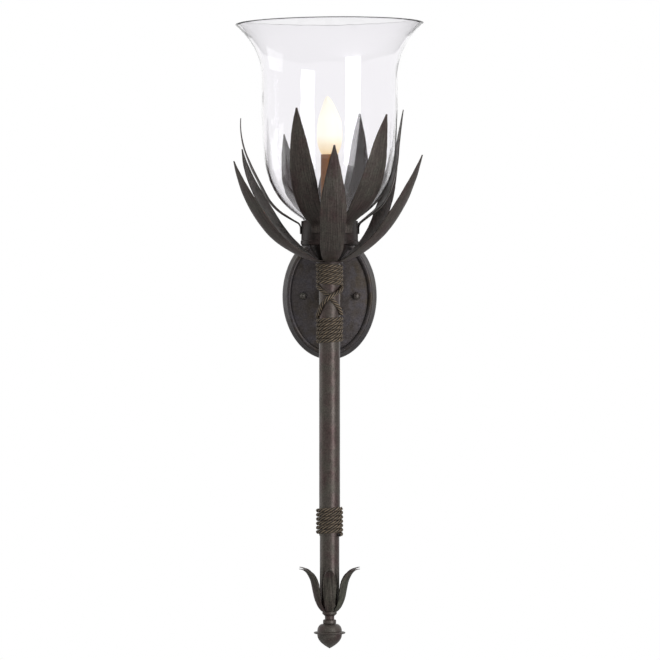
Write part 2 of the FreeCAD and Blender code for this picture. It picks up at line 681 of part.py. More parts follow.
def long_leaf(root, length, flat, root_slope, bend_shares, slopes, full_width, widths, direction, reach=None):
    """One long leaf: a flat root, a bend, then the blade with its own slopes."""
    flat_share = flat / length
    bends = [(0, root_slope), (flat_share, root_slope)] + list(zip(bend_shares, slopes))
    shares = [0, flat_share, (flat_share + bend_shares[0]) / 2, bend_shares[0], 0.13, 0.2, 0.29, 0.38,
              0.48, 0.58, 0.68, 0.78, 0.88, 0.95, 1]
    stations = midline(root, length, bends, shares)
    if reach:
        natural = midline(root, length, bends, [STAND_OFF_AT])[0][0] - root[0]
        scale = (reach - root[0]) / natural
        stations = [(root[0] + (r - root[0]) * scale, z, slope) for r, z, slope in stations]
    sections = [full_width * between(widths, share) for share in shares]
    return blade(stations, sections, [SHEET] * len(shares), BOW_R, direction)


def lower_leaves():
    half_root = LOWER_LEAF_W * LOWER_WIDTHS[0][1] / 2
    hub_foot_r = STEM_R - HUB_STEP
    root_r = max(hub_foot_r, half_root / math.tan(math.radians(30))) + ROOT_GAP
    root = (root_r, Z["hub"] + SHEET / 2)
    for name, (direction, length, slopes) in LOWER_LEAVES.items():
        leaf = long_leaf(root, length, LOWER_ROOT_FLAT, 0, LOWER_BENDS, slopes, LOWER_LEAF_W,
                         LOWER_WIDTHS, direction)
        save("lower_leaf_" + name, leaf)


def upper_leaves():
    root = (CUP_R + SHEET / 2 + SNUG, Z["cup"] + UPPER_ROOT_H)
    for name, (direction, length, slopes, stand_off) in UPPER_LEAVES.items():
        leaf = long_leaf(root, length, UPPER_ROOT_FLAT, 90, UPPER_BENDS, slopes, UPPER_LEAF_W,
                         UPPER_WIDTHS, direction, GLASS_BODY_R + stand_off)
        save("upper_leaf_" + name, leaf)


# ---------------------------------------------------------------- hub and cup
def leaf_ring():
    return tube(STEM_R + RING_LIP, PIPE_R + SNUG, Z["ring"], Z["hub"])


def hub():
    """Turned cone that flares from the leaf ring to the underside of the cup."""
    foot_r = STEM_R - HUB_STEP
    low = Z["hub"]
    top = Z["cup"]
    flare_h = HUB_H - HUB_FOOT_H - HUB_RIM_H
    flare = [(foot_r + (HUB_R - foot_r) * share ** 0.8, low + HUB_FOOT_H + flare_h * share)
             for share in (0, 0.25, 0.5, 0.75, 1)]
    bore = PIPE_R + SNUG
    return revolved(straight((bore, low), (foot_r, low), flare[0]) + [smooth_line(flare)]
                    + straight(flare[-1], (HUB_R, top), (bore, top), (bore, low)))


def cup():
    low = Z["cup"]
    foot_top = low + CUP_FOOT_H
    return turned([(PIPE_R + SNUG, low), (CUP_R - CUP_CHAMFER, low),
                   (CUP_R + CUP_FOOT_STEP, low + CUP_CHAMFER),
                   (CUP_R + CUP_FOOT_STEP, foot_top), (CUP_R, foot_top + CUP_FOOT_STEP),
                   (CUP_R, Z["rim"] - CUP_WALL / 4), (CUP_R - CUP_WALL / 4, Z["rim"]),
                   (cup_inner_r, Z["rim"]), (cup_inner_r, Z["floor"]), (PIPE_R + SNUG, Z["floor"])])


def gasket():
    bore = glass_neck_r - GLASS_WALL - GASKET_LEDGE
    return tube(cup_inner_r - SNUG, bore, Z["floor"], Z["floor"] + GASKET_T)


def top_bushing():
    return tube(stem_bore - SNUG, PIPE_R + SNUG, STEM_TOP - TOP_BUSH_L, STEM_TOP)


def top_nipple():
    return tube(PIPE_R, PIPE_BORE, STEM_TOP - TOP_BUSH_L, Z["pipe"])


def cup_washer():
    return tube(CUP_WASHER_R, PIPE_R + SNUG, Z["floor"], Z["foot"])


def cup_lock_nut():
    nut = hexagon(PIPE_NUT_FLATS, Z["nut"], Z["nut"] + PIPE_NUT_T)
    return nut.cut(rod(PIPE_R + SNUG, Z["nut"] - 1, Z["pipe"]))


# ---------------------------------------------------------------- glass bell
def shoulder(share):
    """Point on the bell's shoulder at a share of its height."""
    swell = (1 - SHOULDER_DRAFT) * (1 - (1 - share) ** SHOULDER_POWER) + SHOULDER_DRAFT * share
    return Vector(glass_neck_r + (GLASS_BODY_R - glass_neck_r) * swell, 0,
                  Z["rim"] + GLASS_NECK_RISE + GLASS_SHOULDER_H * share)


def flare(share):
    """Point on the bell's flare at a share of its height."""
    return Vector(GLASS_BODY_R + GLASS_FLARE * share ** FLARE_POWER, 0,
                  Z["glass"] + GLASS_H - GLASS_FLARE_H * (1 - share))


def bell_line():
    """Points of the bell's outer line from its neck to the rim, closer together where it bends more."""
    points = [shoulder((k / SHOULDER_BANDS) ** 1.6) for k in range(SHOULDER_BANDS + 1)]
    return points + [flare((k / FLARE_BANDS) ** 0.8) for k in range(FLARE_BANDS + 1)]


def inset_line(points, distance):
    """The same line moved square to itself, inwards, by the thickness of the glass."""
    moved = []
    for k, point in enumerate(points):
        along = (points[min(k + 1, len(points) - 1)] - points[max(k - 1, 0)]).normalize()
        moved.append(point + Vector(-along.z, 0, along.x) * distance)
    return moved


def round_lip(outer, inner):
    """Points of the rounded lip between the ends of the outer and the inner line."""
    along = (outer[-1] - outer[-2]).normalize()
    middle = (outer[-1] + inner[-1]) * 0.5
    spoke = outer[-1] - middle
    turns = [math.pi * k / LIP_FACETS for k in range(1, LIP_FACETS)]
    return [middle + spoke * math.cos(turn) + along * (spoke.Length * math.sin(turn)) for turn in turns]


def glass_shade():
    """Bell of even thickness with a round lip."""
    outer = bell_line()
    inner = inset_line(outer, GLASS_WALL)
    bore_r = glass_neck_r - GLASS_WALL
    inner[0] = Vector(bore_r, 0, outer[0].z + GLASS_WALL * math.tan(NECK_MITRE))
    low = Z["glass"]
    foot = [Vector(bore_r, 0, low), Vector(glass_neck_r, 0, low)]
    outline = foot + outer + round_lip(outer, inner) + inner[::-1]
    return revolved([Part.makePolygon(outline + foot[:1])])


# ---------------------------------------------------------------- lampholder and sleeve
def candle_sleeve():
    return tube(SLEEVE_R, SLEEVE_R - SLEEVE_WALL, Z["foot"], Z["sleeve"])


def holder_body():
    low = Z["holder"] - HOLDER_L
    body = rod(HOLDER_R, low, Z["holder"])
    return body.cut(rod(shell_r + SNUG, Z["holder"] - HOLDER_BORE_DEPTH, Z["holder"] + 1))


def holder_shell():
    return tube(shell_r, shell_bore, Z["holder"] - HOLDER_BORE_DEPTH, Z["holder"] - SHELL_DROP)


def holder_contact():
    """Sprung brass tongue on the bottom of the holder's bore."""
    floor = Z["holder"] - HOLDER_BORE_DEPTH
    half = shell_bore * 0.7
    line = [(-half, 0), (half, 0), (half, TONGUE_T), (-half + 2 * TONGUE_T, TONGUE_T),
            (half * 0.4, TONGUE_RISE - TONGUE_T), (half * 0.4, TONGUE_RISE), (half * 0.1, TONGUE_RISE),
            (-half, TONGUE_T)]
    corners = [Vector(x, -TONGUE_W / 2, floor + z) for x, z in line]
    return Part.Face(Part.makePolygon(corners + [corners[0]])).extrude(Vector(0, TONGUE_W, 0))


def holder_leg():
    """Steel leg: a foot under the lock nut, an upright strip and a tab under the holder."""
    low = Z["foot"]
    under = Z["holder"] - HOLDER_L
    inner = PIPE_NUT_FLATS / 2 + REST_GAP
    strip = Part.makeBox(LEG_W, LEG_T, under - low, Vector(-LEG_W / 2, inner, low))
    foot = rod(PIPE_R + LEG_RING, low, low + LEG_T)
    foot = foot.fuse(Part.makeBox(LEG_W, inner + LEG_T / 2, LEG_T, Vector(-LEG_W / 2, 0, low)))
    tab = Part.makeBox(LEG_W, inner, LEG_T, Vector(-LEG_W / 2, LEG_T / 2, under - LEG_T))
    return foot.fuse(strip).fuse(tab).cut(rod(PIPE_R + SNUG, low - 1, low + LEG_T + 1))


# ---------------------------------------------------------------- lamp
def lamp_heights():
    floor = Z["holder"] - HOLDER_BORE_DEPTH
    sole = floor + TONGUE_RISE + REST_GAP
    return sole, sole + CAP_SOLE, sole + CAP_SOLE + CAP_L


def lamp_cap():
    sole, low, top = lamp_heights()
    return rod(CAP_R, low, top).cut(rod(CAP_R - CAP_WALL, low + CAP_WALL, top + 1))


def lamp_contact():
    """Insulator and centre contact under the screw cap."""
    sole, low, top = lamp_heights()
    return turned([(0, sole), (CONTACT_R - CONTACT_T / 2, sole), (CONTACT_R, sole + CONTACT_T),
                   (CAP_R - CONTACT_T, low), (0, low)])


def envelope_rings(inset):
    """Circles of the flame-shaped envelope: (radius, height, lean), from the neck to the tip."""
    sole, low, top = lamp_heights()
    base = Z["sleeve"]
    neck = CAP_R - CAP_WALL - SNUG
    shape = [(0.59, 0), (0.79, 0.077), (0.92, 0.161), (0.99, 0.279), (0.985, 0.415), (0.89, 0.585),
             (0.67, 0.72), (0.44, 0.85), (0.27, 0.93), (0.09, 0.985)]
    rings = [(neck, top - ENVELOPE_FOOT), (neck, top), (neck + NECK_STEP, top + ENVELOPE_WALL)]
    rings += [(LAMP_R * share, base + LAMP_H * height) for share, height in shape]
    circles = []
    for radius, height in rings:
        lean = max(0, (height - base) / LAMP_H - 0.55) / 0.45
        centre = Vector(-TIP_LEAN * lean ** 1.4, 0, height - inset * lean * 0.6)
        ring = Part.Circle(centre, Vector(0, 0, 1), max(radius - inset, ENVELOPE_LEAST_R))
        circles.append(Part.Wire([ring.toShape()]))
    return circles


def lamp_envelope():
    outer = Part.makeLoft(envelope_rings(0), True, False)
    inner = Part.makeLoft(envelope_rings(ENVELOPE_WALL)[:-1], True, False)
    sole, low, top = lamp_heights()
    hollow = inner.cut(rod(2 * CAP_R, low, top - HOLLOW_FOOT))
    return outer.cut(hollow)


def lamp_filament():
    """Glass mount with two support wires and the filament between them."""
    sole, low, top = lamp_heights()
    foot = top - HOLLOW_FOOT + SNUG
    high = foot + MOUNT_H
    mount = turned([(0, foot), (MOUNT_R, foot), (MOUNT_R, foot + MOUNT_H * 0.4), (MOUNT_R * 0.6, high),
                    (0, high)])
    half = FILAMENT_SPAN / 2
    low = high - FILAMENT_ROOT
    top = high + FILAMENT_RISE
    points = [Vector(-MOUNT_R / 2, 0, low), Vector(-half, 0, top), Vector(half, 0, top),
              Vector(MOUNT_R / 2, 0, low)]
    return mount.fuse(bent_wire(points, [half * 0.7, half * 0.7], FILAMENT_R))


# ---------------------------------------------------------------- foot of the stem
def foot_leaves():
    root = (FOOT_ROOT_R, Z["end"] - FOOT_ROOT_DROP)
    shares = (0, 0.1, 0.22, 0.36, 0.5, 0.62, 0.73, 0.83, 0.92, 1)
    stations = midline(root, FOOT_LEAF_L, FOOT_BENDS, shares)
    widths = [FOOT_LEAF_W * between(FOOT_WIDTHS, share) for share in shares]
    sheets = [FOOT_LEAF_T + (FOOT_TIP_T - FOOT_LEAF_T) * share ** 2 for share in shares]
    for k in range(FOOT_LEAVES):
        leaf = blade(stations, widths, sheets, FOOT_BOW_R, 360 / FOOT_LEAVES * k)
        save("foot_leaf_%d" % (k + 1), leaf)


def foot_cup():
    """Turned piece that closes the stem, carries the small leaves and ends in the collar."""
    end = Z["end"]
    collar = Z["collar"]
    waist = FOOT_ROOT_R - FOOT_LEAF_T
    plug_r = lower_bore - SNUG
    cup_body = turned([(0, end + PLUG_H), (plug_r, end + PLUG_H), (plug_r, end), (LOWER_R, end),
                       (waist, end - (LOWER_R - waist) * 0.8), (waist, collar), (COLLAR_R, collar),
                       (COLLAR_R, collar - COLLAR_H), (NECK_R, Z["neck"]), (0, Z["neck"])])
    return cup_body.cut(rod(BOLT_R + SNUG, Z["neck"] - 1, end + PLUG_H + 1))


def foot_spool():
    low = Z["spool"] - SPOOL_H
    edge = SPOOL_EDGE
    spool = turned([(0, Z["neck"]), (NECK_R, Z["neck"]), (NECK_R, Z["spool"] + edge),
                    (SPOOL_R - edge, Z["spool"]), (SPOOL_R, Z["spool"] - edge), (SPOOL_R, low + edge),
                    (SPOOL_R - edge, low), (0, low)])
    return spool.cut(rod(BOLT_R + SNUG, low - 1, Z["neck"] + 1))


def acorn():
    """Round shoulder above the ring, a short land inside it and a full, pointed tip below."""
    top = Z["acorn"]
    ring = Z["acorn_ring"]
    land = ring - ACORN_RING_T
    tip = ring - ACORN_TIP_H
    rise = [math.radians(90 * k / 4) for k in range(5)]
    upper = [(ACORN_TOP_R + (ACORN_R - ACORN_TOP_R) * math.sin(a), ring + (top - ring) * math.cos(a))
             for a in rise]
    shares = [k / 6 for k in range(6)] + [0.93, 1]
    lower = [(ACORN_R * (1 - share ** ACORN_POWER), land + (tip - land) * share) for share in shares]
    body = revolved(straight((0, tip), (0, top), upper[0]) + [smooth_line(upper)]
                    + straight((ACORN_R, ring), (ACORN_R, land)) + [smooth_line(lower)])
    return body.cut(rod(BOLT_R + FIT, top - ACORN_BORE_DEPTH, top + 1))


def acorn_ring():
    top = Z["acorn_ring"]
    low = top - ACORN_RING_T
    edge = ACORN_RING_T / 3
    return turned([(ACORN_R + SNUG, low), (ACORN_RING_R - edge, low + edge / 2), (ACORN_RING_R, low + edge),
                   (ACORN_RING_R, top - edge), (ACORN_RING_R - edge, top - edge / 2), (ACORN_R + SNUG, top)])


# ---------------------------------------------------------------- wires
def bent_wire(points, radii, wire_r=WIRE_R):
    """Round wire along straight runs with a tangent arc at each inner point."""
    edges = []
    here = points[0]
    for k in range(1, len(points) - 1):
        into = (points[k] - points[k - 1]).normalize()
        out = (points[k + 1] - points[k]).normalize()
        turn = math.acos(max(-1.0, min(1.0, into.dot(out))))
        reach = radii[k - 1] * math.tan(turn / 2)
        first = points[k] - into * reach
        last = points[k] + out * reach
        inner = (out - into).normalize()
        middle = points[k] + inner * (radii[k - 1] / math.cos(turn / 2) - radii[k - 1])
        edges.append(Part.LineSegment(here, first).toShape())
        edges.append(Part.Arc(first, middle, last).toShape())
        here = last
    edges.append(Part.LineSegment(here, points[-1]).toShape())
    path = Part.Wire(edges)
    heading = (points[1] - points[0]).normalize()
    section = Part.Wire([Part.Circle(points[0], heading, wire_r).toShape()])
    solid = path.makePipeShell([section], True, False, 1)
    expected = math.pi * wire_r ** 2 * path.Length
    print("wire radii", radii, "volume against section times length", round(solid.Volume / expected, 4))
    return solid


def supply_wire(side):
    """Line or neutral wire: from the plate's hollow through the arm and up to its terminal."""
    x = side * WIRE_SPREAD
    stem_y = -WALL_TO_AXIS + WIRE_HIGH
    holder = Z["holder"] - HOLDER_L
    rise = Z["pipe"] + SPREAD_RISE
    points = [Vector(side * LEAD_END[0], -LEAD_PLANE, LEAD_END[1]),
              Vector(side * LEAD_TURN[0], -LEAD_PLANE, LEAD_TURN[1]),
              Vector(x, -LEAD_PLANE, WIRE_HIGH), Vector(x, stem_y, WIRE_HIGH),
              Vector(x, stem_y, rise), Vector(side * TERMINAL_X, stem_y, rise + SPREAD_L),
              Vector(side * TERMINAL_X, stem_y, holder)]
    return bent_wire(points, [LEAD_RADIUS, ARM_RADIUS, WIRE_BEND, HOLDER_RADIUS, HOLDER_RADIUS])


def earth_wire():
    """Earth wire: from its screw on the stud bar through the arm to the bushing in the stem's top."""
    stem_y = -WALL_TO_AXIS - WIRE_LOW
    turn_r = WIRE_BEND + WIRE_HIGH + WIRE_LOW
    bush = STEM_TOP - TOP_BUSH_L
    out = stem_y - (stem_bore - EARTH_MARGIN - WIRE_LOW)
    head = STRAP_T + BAR_T + SCREW_HEAD_T + WIRE_R
    start, turn, foot = EARTH_DROPS
    step_low, step_high = EARTH_STEP
    points = [Vector(SCREW_X, -head, -start), Vector(SCREW_X, -head, -turn), Vector(0, -LEAD_PLANE, -foot),
              Vector(0, -LEAD_PLANE, -WIRE_LOW), Vector(0, stem_y, -WIRE_LOW), Vector(0, stem_y, step_low),
              Vector(0, out, step_high), Vector(0, out, bush)]
    return bent_wire(points, EARTH_RADII[:2] + [ARM_RADIUS, turn_r - 2] + EARTH_RADII[2:])


# ---------------------------------------------------------------- build everything
def main():
    os.makedirs("parts", exist_ok=True)
    save("backplate", backplate(), False)
    save("box_strap", box_strap(), False)
    save("stud_bar", stud_bar(), False)
    save("earth_screw", earth_screw(), False)
    save("plate_studs", plate_studs(), False)
    save("cap_nut_left", cap_nut(-STUD_SPAN / 2), False)
    save("cap_nut_right", cap_nut(STUD_SPAN / 2), False)
    for name, shape in arm_pieces().items():
        save(name, shape, False)
    save("stem_upper", stem_upper())
    save("stem_lower", tube(LOWER_R, lower_bore, Z["end"], Z["stem_foot"]))
    save("stem_joiner", stem_joiner())
    save("tie_bolt", tie_bolt())
    for name, (shape, path) in {"rope_top": rope_top(), "rope_middle": rope_middle(),
                                "rope_bottom": rope_bottom()}.items():
        save(name, shape)
        print(name, "least gap to itself", round(least_gap(path), 2))
    save("leaf_ring", leaf_ring())
    save("hub", hub())
    save("cup", cup())
    save("glass_gasket", gasket())
    save("top_bushing", top_bushing())
    save("top_nipple", top_nipple())
    save("cup_washer", cup_washer())
    save("cup_lock_nut", cup_lock_nut())
    lower_leaves()
    upper_leaves()
    save("glass_shade", glass_shade())
    save("candle_sleeve", candle_sleeve())
    save("holder_body", holder_body())
    save("holder_shell", holder_shell())
    save("holder_contact", holder_contact())
    save("holder_leg", holder_leg())
    save("lamp_cap", lamp_cap())
    save("lamp_contact", lamp_contact())
    save("lamp_envelope", lamp_envelope())
    save("lamp_filament", lamp_filament())
    foot_leaves()
    save("foot_cup", foot_cup())
    save("foot_spool", foot_spool())
    save("acorn", acorn())
    save("acorn_ring", acorn_ring())
    save("supply_wires", Part.makeCompound([supply_wire(-1), supply_wire(1)]), False)
    save("earth_wire", earth_wire(), False)


main()
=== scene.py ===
import math
import bmesh
import bpy
from bpy.props import FloatProperty, FloatVectorProperty, IntProperty, PointerProperty
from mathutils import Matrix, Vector, noise


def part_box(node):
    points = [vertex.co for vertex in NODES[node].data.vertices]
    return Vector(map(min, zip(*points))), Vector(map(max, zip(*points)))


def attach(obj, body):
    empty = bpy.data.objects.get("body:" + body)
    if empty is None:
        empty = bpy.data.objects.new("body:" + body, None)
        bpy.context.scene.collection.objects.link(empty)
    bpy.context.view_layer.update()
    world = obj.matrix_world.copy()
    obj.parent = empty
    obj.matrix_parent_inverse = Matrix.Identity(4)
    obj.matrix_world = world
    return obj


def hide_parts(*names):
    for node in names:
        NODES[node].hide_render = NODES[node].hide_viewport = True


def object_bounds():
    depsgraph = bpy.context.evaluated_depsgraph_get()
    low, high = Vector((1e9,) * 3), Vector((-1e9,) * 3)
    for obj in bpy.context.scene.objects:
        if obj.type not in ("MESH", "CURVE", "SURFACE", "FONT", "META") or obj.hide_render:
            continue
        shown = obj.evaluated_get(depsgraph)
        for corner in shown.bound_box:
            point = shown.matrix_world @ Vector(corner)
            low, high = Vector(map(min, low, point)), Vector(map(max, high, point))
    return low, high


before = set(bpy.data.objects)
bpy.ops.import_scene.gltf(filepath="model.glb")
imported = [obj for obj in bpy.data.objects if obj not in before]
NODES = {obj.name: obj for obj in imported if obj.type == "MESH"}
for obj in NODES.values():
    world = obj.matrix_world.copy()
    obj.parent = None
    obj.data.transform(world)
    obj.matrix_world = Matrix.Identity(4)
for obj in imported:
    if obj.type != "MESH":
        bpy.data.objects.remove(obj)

bl_info = {
    "name": "Torch sconce",
    "version": (1, 0, 0),
    "blender": (4, 5, 0),
    "location": "3D View > Sidebar > Sconce",
    "description": "Dresses a torch wall sconce: forged leaves, rope bands, glass bell and candle lamp",
    "category": "Add Mesh",
}

# Metres, in the frame of the solids: the wall is the plane y = 0, the front faces -Y and +Z is up.
CAD_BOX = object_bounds()
MM = 0.001


# ---------------------------------------------------------------- places read from the frame
def middle_of(name):
    low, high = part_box(name)
    return (Vector(low) + Vector(high)) / 2


def top_of(name):
    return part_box(name)[1][2]


def foot_of(name):
    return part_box(name)[0][2]


def half_width(name):
    low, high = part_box(name)
    return (high[0] - low[0]) / 2


AXIS_Y = middle_of("stem_upper")[1]
STEM_R = half_width("stem_upper")
STEM_TOP = top_of("stem_upper")
CUP_R = 34.5 * MM
HUB_TOP = top_of("hub")
SLEEVE_TOP = top_of("candle_sleeve")
FOOT_END = foot_of("stem_lower")


# ---------------------------------------------------------------- sizes and colours that a user may change
def length(name, description, default):
    return FloatProperty(name=name, description=description, default=default, min=0.0,
                         unit="LENGTH", subtype="DISTANCE", precision=5)


def colour(name, description, red, green, blue):
    """Colour property from 0..255 screen values."""
    linear = tuple(screen_to_linear(value / 255) for value in (red, green, blue))
    return FloatVectorProperty(name=name, description=description, size=3, subtype="COLOR",
                               default=linear, min=0.0, max=1.0)


def screen_to_linear(value):
    if value <= 0.04045:
        return value / 12.92
    return ((value + 0.055) / 1.055) ** 2.4


class SconceSizes(bpy.types.PropertyGroup):
    vein_spacing: length("Vein spacing", "Distance between the veins drawn along a leaf", 2.1 * MM)
    vein_depth: length("Vein depth", "Depth of the veins drawn along a leaf", 0.16 * MM)
    forging_depth: length("Forging depth", "Height of the hammer's waves on a leaf", 0.35 * MM)
    rope_diameter: length("Rope diameter", "Outer diameter of the laid rope", 4.8 * MM)
    rope_lay: length("Rope lay", "Length of one full turn of a strand", 20.8 * MM)
    rope_strands: IntProperty(name="Rope strands", description="Strands in the rope", default=4, min=3, max=4)
    glass_wall: length("Glass wall", "Thickness of the blown glass", 2.6 * MM)
    rim_tilt: length("Rim tilt", "How much lower the left of the glass rim is", 2.4 * MM)


class SconceColours(bpy.types.PropertyGroup):
    iron: colour("Iron", "Main colour of the forged iron", 71, 64, 59)
    iron_warm: colour("Iron, warm", "Rust-brown and purple patches in the iron", 68, 54, 52)
    iron_cool: colour("Iron, cool", "Grey-olive patches in the iron", 76, 75, 67)
    cast: colour("Cast foot", "Colour of the acorn and the turned foot", 92, 90, 84)
    cast_leaf: colour("Cast leaves", "Colour of the small cast leaves", 72, 72, 62)
    # Painted shade: the cup, hub and leaf ring are coloured near black because they sit in shadow deep among
    # the leaves.
    shaded: colour("Shaded iron", "Colour of the sooty cup, hub and ring", 40, 34, 31)
    plate: colour("Plate", "Colour of the wall plate", 66, 62, 62)
    stem: colour("Stem", "Colour of the stem", 73, 67, 62)
    plate_warm: colour("Plate, warm", "Olive-brown patches in the plate", 60, 54, 47)
    plate_cool: colour("Plate, cool", "Lavender-grey patches in the plate", 74, 72, 77)
    # The rope's two colours are painted light: a highlight on the strands' crests and shade in the grooves
    # between them.
    rope_painted_highlight: colour("Rope, light", "Top of the rope's strands", 142, 124, 100)
    rope_painted_groove_shade: colour("Rope, dark", "Grooves of the rope", 11, 9, 7)
    glass: colour("Glass", "Tint of the blown glass", 249, 248, 250)
    sleeve: colour("Sleeve", "Colour of the candle sleeve", 158, 98, 40)
    glow: colour("Glow", "Colour of the lit lamp", 255, 251, 236)
    glow_low: colour("Glow, low", "Colour at the foot of the lit lamp", 236, 205, 150)


def sizes():
    return bpy.context.scene.sconce_sizes


def colours():
    return bpy.context.scene.sconce_colours


# ---------------------------------------------------------------- node trees
def new_node(tree, kind, **settings):
    """Node of a kind. Settings in small letters are its properties, those with a capital its inputs."""
    node = tree.nodes.new(kind)
    node.location.x = 200 * len(tree.nodes)
    for key, value in settings.items():
        if key[0].islower():
            setattr(node, key, value)
        else:
            fill(node, {key.replace("_", " "): value})
    return node


def fill(node, values):
    """Gives a node's inputs their values by name or number; a socket is linked in, the rest is set."""
    for key, value in values.items():
        if isinstance(value, bpy.types.NodeSocket):
            node.id_data.links.new(value, node.inputs[key])
        else:
            node.inputs[key].default_value = value
    return node


def new_group(name, tree_kind, inputs, outputs):
    """Node group with (name, socket kind) inputs and outputs; returns it, its given values and its output."""
    group = bpy.data.node_groups.new(name, tree_kind)
    for way, sockets in (("INPUT", inputs), ("OUTPUT", outputs)):
        for title, kind in sockets:
            group.interface.new_socket(name=title, in_out=way, socket_type="NodeSocket" + kind)
    return group, new_node(group, "NodeGroupInput").outputs, new_node(group, "NodeGroupOutput")


def math_node(tree, operation, *values, clamp=False):
    node = new_node(tree, "ShaderNodeMath", operation=operation, use_clamp=clamp)
    return fill(node, dict(enumerate(values))).outputs[0]


def vector_math(tree, operation, *values):
    node = new_node(tree, "ShaderNodeVectorMath", operation=operation)
    return fill(node, dict(enumerate(values))).outputs["Value" if operation == "LENGTH" else "Vector"]


def scaled(tree, vector, factor):
    node = new_node(tree, "ShaderNodeVectorMath", operation="SCALE", Vector=vector, Scale=factor)
    return node.outputs["Vector"]


def noise_texture(tree, vector, scale, detail, roughness):
    node = new_node(tree, "ShaderNodeTexNoise", Vector=vector, Scale=scale, Detail=detail,
                    Roughness=roughness)
    return node.outputs["Fac"]


def spread(tree, value, low, high):
    """Stretches the middle of a value's range to 0..1."""
    return new_node(tree, "ShaderNodeMapRange", Value=value, From_Min=low, From_Max=high).outputs["Result"]


def grey_ramp(tree, value, low, high):
    """Grey from low to high, as a colour to multiply by."""
    return new_node(tree, "ShaderNodeMapRange", Value=value, To_Min=low, To_Max=high).outputs["Result"]


# ---------------------------------------------------------------- shader building
def new_material(name):
    """Material with a Principled shader; returns the material, its tree and the shader."""
    material = bpy.data.materials.new(name)
    material.use_nodes = True
    tree = material.node_tree
    tree.nodes.clear()
    shader = new_node(tree, "ShaderNodeBsdfPrincipled")
    new_node(tree, "ShaderNodeOutputMaterial", Surface=shader.outputs["BSDF"])
    return material, tree, shader


def solid_colour(value):
    return (*value[:3], 1.0)


def mix_colour(tree, factor, first, second, blend="MIX"):
    node = new_node(tree, "ShaderNodeMix", data_type="RGBA", blend_type=blend)
    return fill(node, {0: factor, 6: first, 7: second}).outputs[2]


def object_vector(tree):
    return new_node(tree, "ShaderNodeTexCoord").outputs["Object"]


def bump(shader, height, strength, distance):
    node = new_node(shader.id_data, "ShaderNodeBump", Strength=strength, Distance=distance, Height=height)
    fill(shader, {"Normal": node.outputs["Normal"]})


def patina_group():
    """Mottled colour and roughness of old bronzed iron."""
    group, given, out = new_group(
        "patina", "ShaderNodeTree",
        [("Vector", "Vector"), ("Base", "Color"), ("Warm", "Color"), ("Cool", "Color"),
         ("Roughness", "Float")],
        [("Color", "Color"), ("Roughness", "Float")])
    vector = given["Vector"]
    broad = spread(group, noise_texture(group, vector, 26, 3, 0.55), 0.42, 0.62)
    patches = spread(group, noise_texture(group, vector, 61, 4, 0.6), 0.45, 0.65)
    grain = spread(group, noise_texture(group, vector, 520, 3, 0.6), 0.3, 0.7)
    warm = mix_colour(group, broad, given["Base"], given["Warm"])
    both = mix_colour(group, math_node(group, "MULTIPLY", patches, 0.6), warm, given["Cool"])
    rough = math_node(group, "MULTIPLY_ADD", patches, 0.14, -0.07)
    fill(out, {"Color": mix_colour(group, 1.0, both, grey_ramp(group, grain, 0.66, 1.3), "MULTIPLY"),
               "Roughness": math_node(group, "ADD", rough, given["Roughness"])})
    return group


def hammer_group():
    """Height of overlapping hammer marks with a fine scaly grain."""
    group, given, out = new_group(
        "hammer marks", "ShaderNodeTree",
        [("Vector", "Vector"), ("Marks per metre", "Float"), ("Grain", "Float")], [("Height", "Float")])
    marks = new_node(group, "ShaderNodeTexVoronoi", feature="SMOOTH_F1", Smoothness=0.5,
                     Vector=given["Vector"],
                     Scale=given["Marks per metre"])
    fine = noise_texture(group, given["Vector"], 700, 4, 0.65)
    fine = math_node(group, "MULTIPLY", fine, given["Grain"])
    fill(out, {"Height": math_node(group, "ADD", marks.outputs["Distance"], fine)})
    return group


def old_iron(name, base, warm, cool, roughness, metallic, marks, grain):
    """Patinated material, with its tree, its shader, the patina's colour and the hammer marks' height."""
    material, tree, shader = new_material(name)
    vector = object_vector(tree)
    patina = new_node(tree, "ShaderNodeGroup", node_tree=bpy.data.node_groups.get("patina") or patina_group(),
                      Vector=vector, Base=solid_colour(base), Warm=solid_colour(warm),
                      Cool=solid_colour(cool),
                      Roughness=roughness)
    hammered = new_node(tree, "ShaderNodeGroup",
                        node_tree=bpy.data.node_groups.get("hammer marks") or hammer_group(),
                        Vector=vector, Marks_per_metre=marks, Grain=grain)
    fill(shader, {"Roughness": patina.outputs["Roughness"], "Metallic": metallic, "Specular IOR Level": 0.3})
    return material, tree, shader, patina.outputs["Color"], hammered.outputs["Height"]


def iron_material(name, base, warm, cool, marks, depth, roughness=0.5, metallic=0.4):
    """Old bronzed iron with hammer marks."""
    material, tree, shader, shade, height = old_iron(name, base, warm, cool, roughness, metallic, marks, 0.35)
    fill(shader, {"Base Color": shade})
    bump(shader, height, 0.7, depth)
    return material


def leaf_material(name, base, lines_per_metre, low, high):
    """Forged or cast leaf: patina with lines that run along the leaf, read from its own UV map."""
    tint = colours()
    material, tree, shader, shade, marks = old_iron(name, base, tint.iron_warm, tint.iron_cool, 0.5, 0.35,
                                                    95.0, 0.5)
    along = new_node(tree, "ShaderNodeUVMap", uv_map="leaf").outputs["UV"]
    stretch = new_node(tree, "ShaderNodeMapping", Vector=along, Scale=(lines_per_metre, 35.0, 1.0))
    lines = noise_texture(tree, stretch.outputs["Vector"], 1.0, 3, 0.6)
    dark = grey_ramp(tree, spread(tree, lines, 0.36, 0.62), low, high)
    fill(shader, {"Base Color": mix_colour(tree, 1.0, shade, dark, "MULTIPLY")})
    bump(shader, math_node(tree, "ADD", math_node(tree, "MULTIPLY", lines, 0.8), marks), 0.6, 0.3 * MM)
    return material


